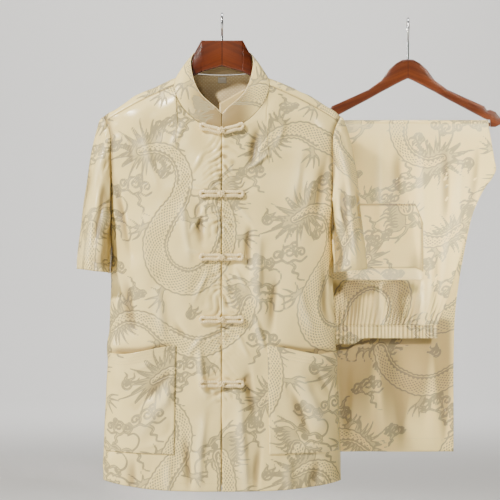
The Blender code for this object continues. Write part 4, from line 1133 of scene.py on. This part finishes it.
def makePocket(side, hand):
    # a patch that follows the front's columns; its top stands open in the middle and its body is dragged
    # into slanting folds
    p = pocket
    coarse = panelColumns(*frontNeckline(evenTurns), 6)[0]
    shares = np.linspace(coarse[4], coarse[-2], p["columns"])
    across = (shares - shares[0]) / (shares[-1] - shares[0])
    top = pocketTop(across)
    low = p["lowInner"] + (p["lowOuter"] - p["lowInner"]) * across
    way = np.linspace(0, 1, p["rows"])[:, None]
    z = top[None] + (low - top)[None] * way
    x = halfWidth(0.75) * np.sin(shares * pi / 2) ** sidePower
    v = placeOnFront(np.broadcast_to(x, z.shape), z)[1]
    a = np.broadcast_to(side * shares * 0.9995, z.shape)
    flat = body(a, v)
    x, z = flat[..., 0], flat[..., 2]
    sewn = smooth(across / 0.07) * smooth((1 - across) / 0.07)
    sewn = sewn[None] * smooth((1 - way) / 0.05)
    gape = p["gape"] * np.sin(pi * across)[None] ** 2 * (1 - smooth(way / p["gapeShare"]))
    drag = creases(x, z, pocketCreases[side]) + 1.5 * ripple(x, z, 40 + side, 5, 50.0)
    # painted shade in the hollows of the pocket's folds and painted highlight on their ridges
    paintedLight = (drag / 5.0) * sewn
    drag = np.maximum(drag + 1.3, 0.15 * drag)
    hem = hemFold(way * (top - low)[None], *pocketHem)
    out = softFront(x, z) + jacket["seam"] + gape + jacket["wall"] + (drag + hem) * sewn
    points = bodyMoved(a, v, out)
    cloth = clothPlaces(flat, 0) * [side, -1]
    shift = (40, 60) if side < 0 else (150, -90)
    piece = putCloth("pocket" + hand.title(), points, bodyTurns(a, v)[0], (silk, wrongSide), jacket["wall"],
                     weave(cloth, shift, 0, paintedLight), cloth)
    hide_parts("pocket_" + hand)
    normal = facing(points, 40, 30)
    lines = [(points[k, 2:-2], normal[k, 2:-2]) for k in (1, 4, 7, 10)]
    return lines + [(points[:, 1], normal[:, 1]), (points[:, -2], normal[:, -2]), (points[-2], normal[-2])]


pocketLines = {side: makePocket(side, hand) for side, hand in hands}
stitchMesh("stitchesBody", frontLines[-1] + frontLines[1] + backLines + sleeveLines + collarLines)
stitchMesh("stitchesPockets", pocketLines[-1] + pocketLines[1])
print("pockets and stitches done")

# Frogs: the strip's path from the knot to its round end and back, as reach and height; the knot's half sizes
frog = dict(path=((4.0, 2.6), (7.4, 3.4), (18.0, 3.3), (29.0, 3.4), (33.0, 4.5), (36.6, 4.0), (38.6, 2.1),
                  (39.0, 0.0)),
            radius=3.45, lift=0.5, knot=(8.2, 6.1, 6.8), strand=1.45, strandDeep=1.5, coreDeep=2.0, rise=0.26,
            rings=110, sides=20)


def makeFrogs():
    # two cords beside each other that join in a loop at the outer end, and a knot of crossing strands
    path = np.array(frog["path"], float)
    line = flow(np.vstack([path, (path * [1, -1])[-2::-1]]), frog["rings"])
    for number, z0 in enumerate(frogHeights, 1):
        rise = frog["rise"] if number == 1 else 0.0
        for side, hand in hands:
            x = side * line[:, 0]
            z = z0 + line[:, 1] + rise * (line[:, 0] - 7.4)
            a, v = placeOnFront(x, z)
            outward = bodyTurns(a, v)[0]
            soft = softFront(x, z) * smooth((np.abs(x) - 3) / 12)
            points = body(a, v) + outward * (frog["radius"] + frog["lift"] + np.maximum(soft, -0.3))[:, None]
            wobble = 1 + 0.035 * np.sin(np.arange(frog["rings"]) * 0.9 + number + side)
            cord = sweep(points, outward, frog["radius"] * 0.97 * wobble[:, None], frog["sides"])
            piece = putTube(f"frog{number}{hand.title()}", cord, cordCloth)
            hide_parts(f"frog_{number}_{hand}")
        a, v = placeOnFront(np.array(0.3), np.array(z0))
        middle = bodyMoved(a, v, np.array(frog["knot"][1] + jacket["seam"]))
        makeKnot(number, np.array([0.0, middle[1], middle[2]]))


def onBall(latitude, around):
    level = np.cos(latitude)
    places = (level * np.cos(around), np.sin(latitude), level * np.sin(around))
    return np.stack(np.broadcast_arrays(*places), axis=-1)


def makeKnot(number, middle):
    # one strand that winds over an egg shaped core: its latitude swings five times in two rounds
    size = np.array(frog["knot"])
    t = np.linspace(0, 2 * pi, 260, endpoint=False)
    level = 1 + 0.10 * np.sin(10 * t + 0.8)
    ring = onBall(1.05 * np.sin(5 * t), 2 * t + 0.3 * number)
    path = middle + ring * (size - frog["strandDeep"]) * level[:, None]
    tube = sweep(path, ring, frog["strand"], 12, closed=True)
    latitude = np.linspace(-0.49 * pi, 0.49 * pi, 18)[:, None]
    around = np.linspace(0, 2 * pi, 20, endpoint=False)
    core = middle + onBall(latitude, around) * (size - frog["coreDeep"])
    piece = putTube(f"frog{number}Knot", tube, cordCloth, closed=True)
    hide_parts(f"frog_{number}_knot")
    putTube(f"frog{number}Core", core, cordCloth)


makeFrogs()
print("frogs done")

# Hangers: half of each outline from the crown to the end of the arm, as x, top, low and half depth
jacketHanger = [(0, -48.0, -96.0, 6.5), (38.5, -48.0, -107.0, 6.5), (53.5, -76.0, -115.0, 6.5),
                (55, -88.0, -116.5, 6.2), (60, -98.5, -120.0, 6.0), (68, -108.0, -126.0, 6.0),
                (78, -117.5, -133.0, 5.5), (86, -123.0, -139.0, 5.0)]
for x, height in zip((100, 120, 140, 160, 180, 200, 207), (21, 20, 19, 18, 17, 14, 8)):
    top, last = float(ridgeZ(x)) - 4.2, x == 207
    jacketHanger.append((x, top - 3.0 * last, top - height, 3.0 if last else 5.0))
trouserHanger = [(0, -75.7, -112.0, 6.0), (10, -76.5, -116.5, 6.0), (22.6, -83.3, -123.0, 6.0),
                 (35.7, -95.2, -130.0, 6.0), (50.9, -116.0, -138.0, 6.0), (74.8, -133.4, -151.5, 6.0),
                 (110, -149.5, -170.0, 6.0), (145.0, -165.0, -188.5, 6.0), (149.5, -172.7, -190.4, 6.0),
                 (155.9, -171.6, -190.6, 6.0), (156.1, -171.5, -204.4, 6.0), (166.4, -175.9, -204.4, 6.0),
                 (175.0, -186.8, -200.0, 5.6), (179.0, -191.5, -198.0, 4.0)]


def makeHanger(name, node, rows, middle, material, corner=2.6):
    # rounded sections along the arms: corners of a radius as large as the thin part allows
    rows = np.array(rows, float)
    ends = rows[-1, 0]
    stations = np.unique(np.concatenate([np.linspace(0, ends, 130), rows[:, 0], ends - [0.4, 1.2]]))
    half = np.stack([np.interp(stations, rows[:, 0], rows[:, i]) for i in (1, 2, 3)], axis=-1)
    padded = np.vstack([half[1:2], half, half[-1:]])
    half = np.stack([np.convolve(values, (0.25, 0.5, 0.25), "valid") for values in padded.T], axis=-1)
    end = np.clip((stations[-1] - stations) / 2.5, 0, 1)
    end = 0.55 + 0.45 * np.sqrt(1 - (1 - end) ** 2)
    x = np.concatenate([-stations[:0:-1], stations])
    half, end = np.vstack([half[:0:-1], half]), np.concatenate([end[:0:-1], end])
    high, deep = (half[:, 0] - half[:, 1]) / 2 * end, half[:, 2] * end
    centre = (half[:, 0] + half[:, 1]) / 2
    corner = np.minimum(corner, np.minimum(high, deep) * 0.8)
    turns = np.linspace(0, 2 * pi, 32, endpoint=False) + pi / 32
    c, s = np.cos(turns), np.sin(turns)
    y = (deep - corner)[:, None] * np.sign(c) + corner[:, None] * c
    z = centre[:, None] + (high - corner)[:, None] * np.sign(s) + corner[:, None] * s
    rings = np.stack([middle[0] + np.broadcast_to(x[:, None], y.shape), middle[1] + y, z], axis=-1)
    piece = putTube(name, rings, material)
    corner = rings[100, 0]
    face = np.cross(rings[100, 1] - corner, rings[101, 0] - corner)
    if (face * (corner - rings[100].mean(0))).sum() > 0:
        piece.data.flip_normals()
    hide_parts(node)


def makeHook(name, node, x, y, foot):
    # the stem, the bend to the front and the arc over the rod, as one round wire
    reach, count = 17.0, 150
    stem = [(x, y, foot - 3.0), (x, y, foot), (x, y, -43.0), (x, y, -38.0), (x, y - 5.0, -34.0)]
    turns = np.radians(np.linspace(228, -35, 22))
    arc = [(x, y + reach * np.cos(t), -15.0 + reach * np.sin(t)) for t in turns]
    path = flow(np.array(stem + arc), count)
    across = np.broadcast_to(np.array([1.0, 0, 0]), path.shape)
    size = np.full(count, 2.0)
    size[-4:] = (1.9, 1.6, 1.1, 0.5)
    piece = putTube(name, sweep(path, across, size[:, None], 18), chrome)
    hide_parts(node)


makeHanger("jacketHanger", "jacket_hanger_wood", jacketHanger, (0.0, 0.0), jacketWood)
makeHook("jacketHook", "jacket_hanger_hook", 0.0, 0.0, -47.7)
makeHanger("trouserHanger", "trouser_hanger_wood", trouserHanger, (352.0, 105.0), trouserWood, 3.2)
makeHook("trouserHook", "trouser_hanger_hook", 352.0, 105.0, -75.4)

# Trousers over the bar: edges of the front flap from the waist up and of the back flap down to the hem, as
# z, left, right and gather. The layers lie at these distances from the bar's axis; the folded ones are also
# inset at both sides.
bar = dict(x=352.0, y=105.0, z=-199.5, radius=4.0, left=202.0, wide=302.0)
layers = dict(outer=8.3, inner=4.3, folded=((6.75, 2.5), (6.1, 4.0)), wall=1.0, foldedWall=0.5)
frontFlap = np.array([(-580.3, 191.0, 407.0, 2.4), (-563.0, 191.0, 414.7, 2.2), (-535.0, 190.0, 425.5, 1.2),
                      (-495.0, 189.0, 437.5, 0.2), (-449.0, 190.0, 450.8, 0.0), (-400.0, 191.0, 465.0, 0.0),
                      (-350.0, 193.0, 482.0, 0.0), (-318.0, 195.0, 499.0, 0.0), (-301.0, 196.0, 511.6, 0.0),
                      (-286.0, 197.0, 518.2, 0.0), (-267.0, 198.0, 515.4, 0.0), (-221.0, 201.0, 507.8, 0.0),
                      (-199.5, 202.0, 504.0, 0.0)])
backFlap = np.array([(-821.6, 204.0, 439.4, 0), (-740.0, 204.0, 439.4, 0), (-650.0, 204.0, 439.5, 0),
                     (-563.0, 204.0, 442.0, 0), (-495.0, 204.0, 450.0, 0), (-400.0, 204.0, 468.0, 0),
                     (-300.0, 203.0, 489.0, 0), (-221.0, 202.0, 501.0, 0), (-199.5, 202.0, 504.0, 0)])
flapWaves = (("front", 0.12, 0.12, -1.5), ("front", 0.45, 0.13, 3.5), ("front", 0.80, 0.12, -4.0),
             ("back", 0.25, 0.14, 4.0), ("back", 0.62, 0.15, -3.5), ("back", 0.92, 0.10, 3.0))
flapLean = dict(front=-7.0, back=3.0)
flapCreases = dict(
    front=(
        (297, -208, 300, -480, 7.2, -4.5), (372, -208, 382, -490, 8.1, -4.9),
        (335, -225, 330, -360, 9.9, 3.4), (240, -212, 236, -400, 9, 2.6), (420, -210, 428, -440, 8.1, 4.1),
        (455, -220, 440, -480, 7.2, -3.5), (488, -215, 470, -380, 7.2, 2.8),
        (262, -300, 258, -520, 7.2, -2.2), (402, -480, 374, -578, 7.2, -2.8),
        (330, -500, 338, -578, 6.3, 2.6), (220, -470, 232, -578, 7.2, -2.6),
        (210, -230, 214, -420, 5.4, -1.8), (297, -478, 301, -620, 8.1, -7.5),
        (372, -478, 378, -620, 8.1, -7.5), (333, -470, 336, -600, 14.4, 5.0),
        (250, -480, 246, -600, 18, 4.4), (396, -440, 388, -600, 5.4, -4.0),
        (412, -400, 396, -590, 5.4, 3.2), (440, -300, 408, -560, 8.1, -4.2),
    ),
    back=(
        (240, -600, 236, -840, 9.9, 3.0), (290, -560, 300, -840, 10.8, -3.5),
        (345, -600, 340, -840, 9.9, 3.4), (395, -560, 402, -840, 9.9, -3.1),
        (425, -640, 421, -840, 6.3, 2.6), (320, -240, 316, -540, 12.6, 3.0),
        (400, -240, 396, -560, 11.7, -3.0), (250, -240, 256, -560, 10.8, 3.0),
        (218, -560, 222, -800, 7, -1.2),
    ),
)


def flapBend(face, share, x, z):
    # how far a flap leaves its plane: wide folds, its lean and its creases, none of it at the bar
    bend = sum(rise * bell(share, place, width) for where, place, width, rise in flapWaves if where == face)
    bend = bend * smooth((bar["z"] - 15.0 - z) / 200.0)
    fine = creases(x, z, flapCreases[face]) + 2.6 * ripple(x, z, 50 + len(face), 6, 90.0)
    lean = flapLean[face] * np.maximum(bar["z"] - z, 0) / 400.0
    return bend + fine * smooth((bar["z"] - 4.0 - z) / 40.0) + lean


def flapPaintedLight(face, x, z, outside):
    # painted light of the creases as seen from their own side; on the front the painted shadow below the seat
    # pocket's mouth and a painted highlight band at the bar, on the inner side of the back flap the painted
    # shadow below the waist
    paintedLight = -creases(x, z, flapCreases[face]) / 4.0
    if face == "front":
        under = bell(z, -512.0, 13.0) * smooth((x - 200) / 10) * smooth((386 - x) / 12)
        return paintedLight - 1.3 * under * outside + bell(z, bar["z"], 26.0)
    if outside:
        return -paintedLight
    below = smooth((z + 830.0) / 200.0) * smooth((446.0 - x) / 26.0) * smooth((-560.0 - z) / 20.0)
    return paintedLight - 1.3 * below


def drape(radius, columns, spacing, inset=0.0, gathered=False):
    # one layer at its own distance from the bar's axis: up the front flap, over the bar, down the back flap.
    # The fourth value of each point is its painted light: painted shade below 0, painted highlight above 0.
    share = np.linspace(0, 1, columns)[None]
    turn = np.linspace(0, pi, 14)[1:-1, None]
    over = (bar["left"] + inset + (bar["wide"] - 2 * inset) * share, bar["y"] - radius * np.cos(turn),
            bar["z"] + radius * np.sin(turn), 0.0)
    flaps = []
    for face, table, way in (("front", frontFlap, -1), ("back", backFlap, 1)):
        z = np.linspace(table[0, 0], table[-1, 0], int((table[-1, 0] - table[0, 0]) / spacing) + 1)
        left, right, gather = (throughRows(z, table[:, 0], table[:, i])[:, None] for i in (1, 2, 3))
        x = left + inset + (right - left - 2 * inset) * share
        z = np.broadcast_to(z[:, None], x.shape)
        y = bar["y"] + radius * way + flapBend(face, share, x, z)
        paintedLight = flapPaintedLight(face, x, z, gathered)
        if gathered and face == "front":
            y = y - gather * ruches(share)
            # painted shade in the valleys between the gathers and painted highlight on their ridges
            paintedLight = paintedLight + gather * (ruches(share) - 0.55) * 0.7
        flaps.append(np.stack([x, y, z, paintedLight], axis=-1))
    return np.concatenate([flaps[0], np.stack(np.broadcast_arrays(*over), axis=-1), flaps[1][::-1]])


def ruches(share):
    # thirty uneven gathers across the waist, 0 in the valleys and 1 on the ridges
    return 0.5 - 0.5 * np.cos(2 * pi * 30 * share + 1.1 * np.sin(2 * pi * 3.3 * share + 0.7))


def makeTrousers():
    lines = []
    for name, node, layer, columns, spacing, shift, hemRow in (
            ("trouserLegOuter", "trouser_leg_outer", "outer", 96, 3.3, (60, 330), -8),
            ("trouserLegInner", "trouser_leg_inner", "inner", 76, 4.2, (180, 90), -7)):
        grid = drape(layers[layer], columns, spacing, 0.0, layer == "outer")
        points, paintedLight = grid[..., :3], grid[..., 3]
        outward = facing(points, 40, 40, layer == "inner")
        cloth = clothPlaces(points, columns // 2)
        piece = putCloth(name, points, outward, (silk, wrongSide), layers["wall"],
                         weave(cloth, shift, 180, paintedLight), cloth)
        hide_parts(node)
        lines.append((points[hemRow], outward[hemRow]))
    for number, (radius, inset) in enumerate(layers["folded"]):
        points = drape(radius, 28, 12.0, inset)[..., :3]
        cloth = clothPlaces(points, 14)
        sheet = putCloth(f"trouserFolded{number + 1}", points, facing(points, 12, 14), (silk, wrongSide),
                         layers["foldedWall"], weave(cloth, (20 * number, 200), 180), cloth)
        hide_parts("trouser_folded_layers")
    return lines


trouserLines = makeTrousers()
waistband = dict(left=191.0, wide=216.0, top=-580.6, low=-605.0, swell=1.5, outer=8.9, inner=6.2, peek=11.5,
                 wall=1.4, high=24.0)


def makeWaistband(name, node, layer, peek):
    # a ruched casing: its face swells between the gathers, most at half height
    w = waistband
    share = np.linspace(0, 1, 301)[None]
    gathers = ruches(share)
    low = w["low"] - peek * (1 - smooth((share - 0.25) / 0.12))
    way = np.linspace(0, 1, 16)[:, None]
    z = w["top"] + (low - w["top"]) * way
    x = np.broadcast_to(w["left"] + w["wide"] * share, z.shape)
    y = bar["y"] - w[layer] + flapBend("front", share, x, z)
    if layer == "outer":
        swell = w["swell"] * gathers * (0.55 + 0.45 * np.sin(pi * way))
        y = y - swell - 0.5 * np.sin(pi * way) - 0.25 * np.sin(pi * way * 3)
    # painted shade in the valleys between the gathers and painted highlight on their ridges, and a painted
    # shade line at the upper edge
    paintedLight = 1.7 * (gathers - 0.52) * (0.6 + 0.4 * np.sin(pi * way)) - 0.6 * bell(way * w["high"], 1.5, 1.2)
    points = np.stack([x, y, z], axis=-1)
    outward = facing(points, 8, 150)
    cloth = clothPlaces(points, 150)
    piece = putCloth(name, points, outward, (silk, wrongSide), w["wall"],
                     weave(cloth, (0, 90), 180, paintedLight), cloth)
    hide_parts(node)
    return [(points[k], outward[k]) for k in (2, 8, 13)] if layer == "outer" else []


trouserLines += makeWaistband("waistbandOuter", "waistband_outer", "outer", 0.0)
makeWaistband("waistbandInner", "waistband_inner", "inner", waistband["peek"])
seatPocket = dict(left=204.0, right=380.0, wide=176.0, openZ=-495.0, lowZ=-349.7, high=145.0, cornerX=365.0,
                  cornerZ=-387.0, gape=5.0, fromShare=0.72, toHem=140.0, wall=1.0)


def makeSeatPocket():
    # upside down: sewn at the top and sides, its mouth below stands open
    p = seatPocket
    x = np.linspace(p["left"], p["right"], 60)
    chamfer = np.clip((x - p["cornerX"]) / (p["right"] - p["cornerX"]), 0, 1)
    high = p["lowZ"] + (p["cornerZ"] - p["lowZ"]) * chamfer
    way = np.linspace(0, 1, 56)[:, None]
    z = high[None] + (p["openZ"] - high)[None] * way
    x = np.broadcast_to(x, z.shape)
    left, right = (throughRows(z, frontFlap[:, 0], frontFlap[:, i]) for i in (1, 2))
    bend = flapBend("front", (x - left) / (right - left), x, z)
    across = (x - p["left"]) / (p["right"] - p["left"])
    sewn = smooth(across / 0.08) * smooth((1 - across) / 0.08) * smooth(way / 0.06)
    mouth = p["gape"] * smooth((way - p["fromShare"]) / (1 - p["fromShare"])) * np.sin(pi * across) ** 0.8
    toMouth, toRight = (1 - way) * p["toHem"], (1 - across) * p["wide"]
    puff = np.maximum(0.9 + 0.6 * ripple(x, z, 61, 5, 60.0), 0) + hemFold(toMouth, *seatHem)
    y = bar["y"] - layers["outer"] - 3 * jacket["seam"] - p["wall"] - mouth - puff * sewn + bend
    # painted light: painted shade along the sewn sides and top and below the band, a painted highlight on the
    # band along the mouth, and painted shade beside the right edge above the band
    sides = bell(toRight, 2.5, 3.0) + bell(across * p["wide"], 2.5, 3.0) + bell(way * p["high"], 2.0, 2.6)
    paintedLight = 1 - smooth((toMouth - 20) / 2) - 1.1 * sides - 0.9 * bell(toMouth, 22, 2.0)
    corner = bell(toRight, 14, 13) * smooth((way - 0.45) / 0.4) * smooth((toMouth - 18) / 8)
    points = np.stack([x, y, z], axis=-1)
    outward = facing(points, 20, 30)
    cloth = clothPlaces(points, 0) * [1, -1]
    piece = putCloth("trouserPocket", points, outward, (silk, wrongSide), p["wall"],
                     weave(cloth, (10, 30), 180, paintedLight - 0.7 * corner), cloth)
    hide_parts("trouser_pocket")
    lines = [(points[k, 2:-2], outward[k, 2:-2]) for k in (2, -3, -9)]
    return lines + [(points[:, 1], outward[:, 1]), (points[:, -2], outward[:, -2])]


trouserLines += makeSeatPocket()
stitchMesh("stitchesTrousers", trouserLines)


def makeBar():
    x = np.concatenate([[-155.6, -155.5], np.linspace(-154.5, 154.5, 60), [155.5, 155.6]])
    path = np.stack([bar["x"] + x, 0 * x + bar["y"], 0 * x + bar["z"]], axis=-1)
    size = np.full(len(x), bar["radius"])
    size[[0, -1]] = 3.2
    across = np.broadcast_to([0, 0, 1.0], path.shape)
    piece = putTube("trouserBar", sweep(path, across, size[:, None], 28), trouserWood)
    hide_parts("trouser_hanger_bar")


makeBar()
print("trousers done")

# Floor, lights and camera


def backdrop(name, colour):
    # a pale floor that turns up behind the suit in a wide curve: floor, quarter circle and wall
    material, tree, shader = newMaterial(name)
    coat(shader, mixColour(noise(placed(tree), 1.5, 2.0), tint(colour, 0.99), tint(colour)), 0.9)
    near, far, wide, high, floor, curve = -9000, 8000, 12000, 9000, -1050, 2200
    turn = np.linspace(0, pi / 2, 24)
    y = np.concatenate([[near], far - curve + curve * np.sin(turn), [far]])[:, None]
    z = np.concatenate([[floor], floor + curve * (1 - np.cos(turn)), [high]])[:, None]
    points = np.stack(np.broadcast_arrays(np.array([[-wide, wide]]), y, z), axis=-1)
    mesh = bpy.data.meshes.new(name)
    mesh.from_pydata((points.reshape(-1, 3) * mm).tolist(), [], gridQuads(len(y), 2).tolist())
    mesh.shade_smooth()
    mesh.materials.append(material)
    plane = bpy.data.objects.new(name, mesh)
    bpy.context.scene.collection.objects.link(plane)


def areaLight(name, place, target, size, power, colour=(1, 1, 1), spread=180):
    light = bpy.data.lights.new(name, "AREA")
    light.shape = "DISK"
    light.size = size
    light.energy = power
    light.spread = np.radians(spread)
    light.color = colour
    lamp = bpy.data.objects.new(name, light)
    lamp.location = place
    lamp.rotation_euler = (Vector(target) - Vector(place)).to_track_quat("-Z", "Y").to_euler()
    bpy.context.scene.collection.objects.link(lamp)


backdrop("floor", (0.80, 0.79, 0.77))
areaLight("keyLight", (-2.3, -2.4, 2.1), (0.05, 0.0, -0.42), 0.35, 300, (1.0, 0.95, 0.86))
areaLight("sheenLight", (-1.1, -4.6, 0.9), (0.1, 0.0, -0.45), 0.4, 24, (1.0, 0.97, 0.9))
areaLight("trouserLight", (1.9, -3.0, 1.0), (0.47, 0.1, -0.42), 0.4, 1.6, (1.0, 0.94, 0.84), 12)
areaLight("topLight", (0.2, 0.2, 1.7), (0.1, 0.05, -0.2), 0.9, 42)
areaLight("sideLight", (-3.2, -1.2, 0.2), (-0.2, 0.0, -0.35), 0.4, 30, (1.0, 0.98, 0.93))
areaLight("wallLight", (0.0, 4.6, 2.4), (0.0, 8.0, -0.2), 3.0, 200)
world = bpy.data.worlds.new("paleRoom")
bpy.context.scene.world = world
world.use_nodes = True
world.node_tree.nodes["Background"].inputs["Color"].default_value = (0.86, 0.85, 0.83, 1)
world.node_tree.nodes["Background"].inputs["Strength"].default_value = 0.07

camera = bpy.data.cameras.new("camera")
camera.lens = 193.5
camera.sensor_width = 36.0
camera.clip_end = 200.0
view = bpy.data.objects.new("camera", camera)
view.location = (0.052, -5.0, -0.438)
view.rotation_euler = (pi / 2, 0.0, 0.0)
bpy.context.scene.collection.objects.link(view)
bpy.context.scene.camera = view
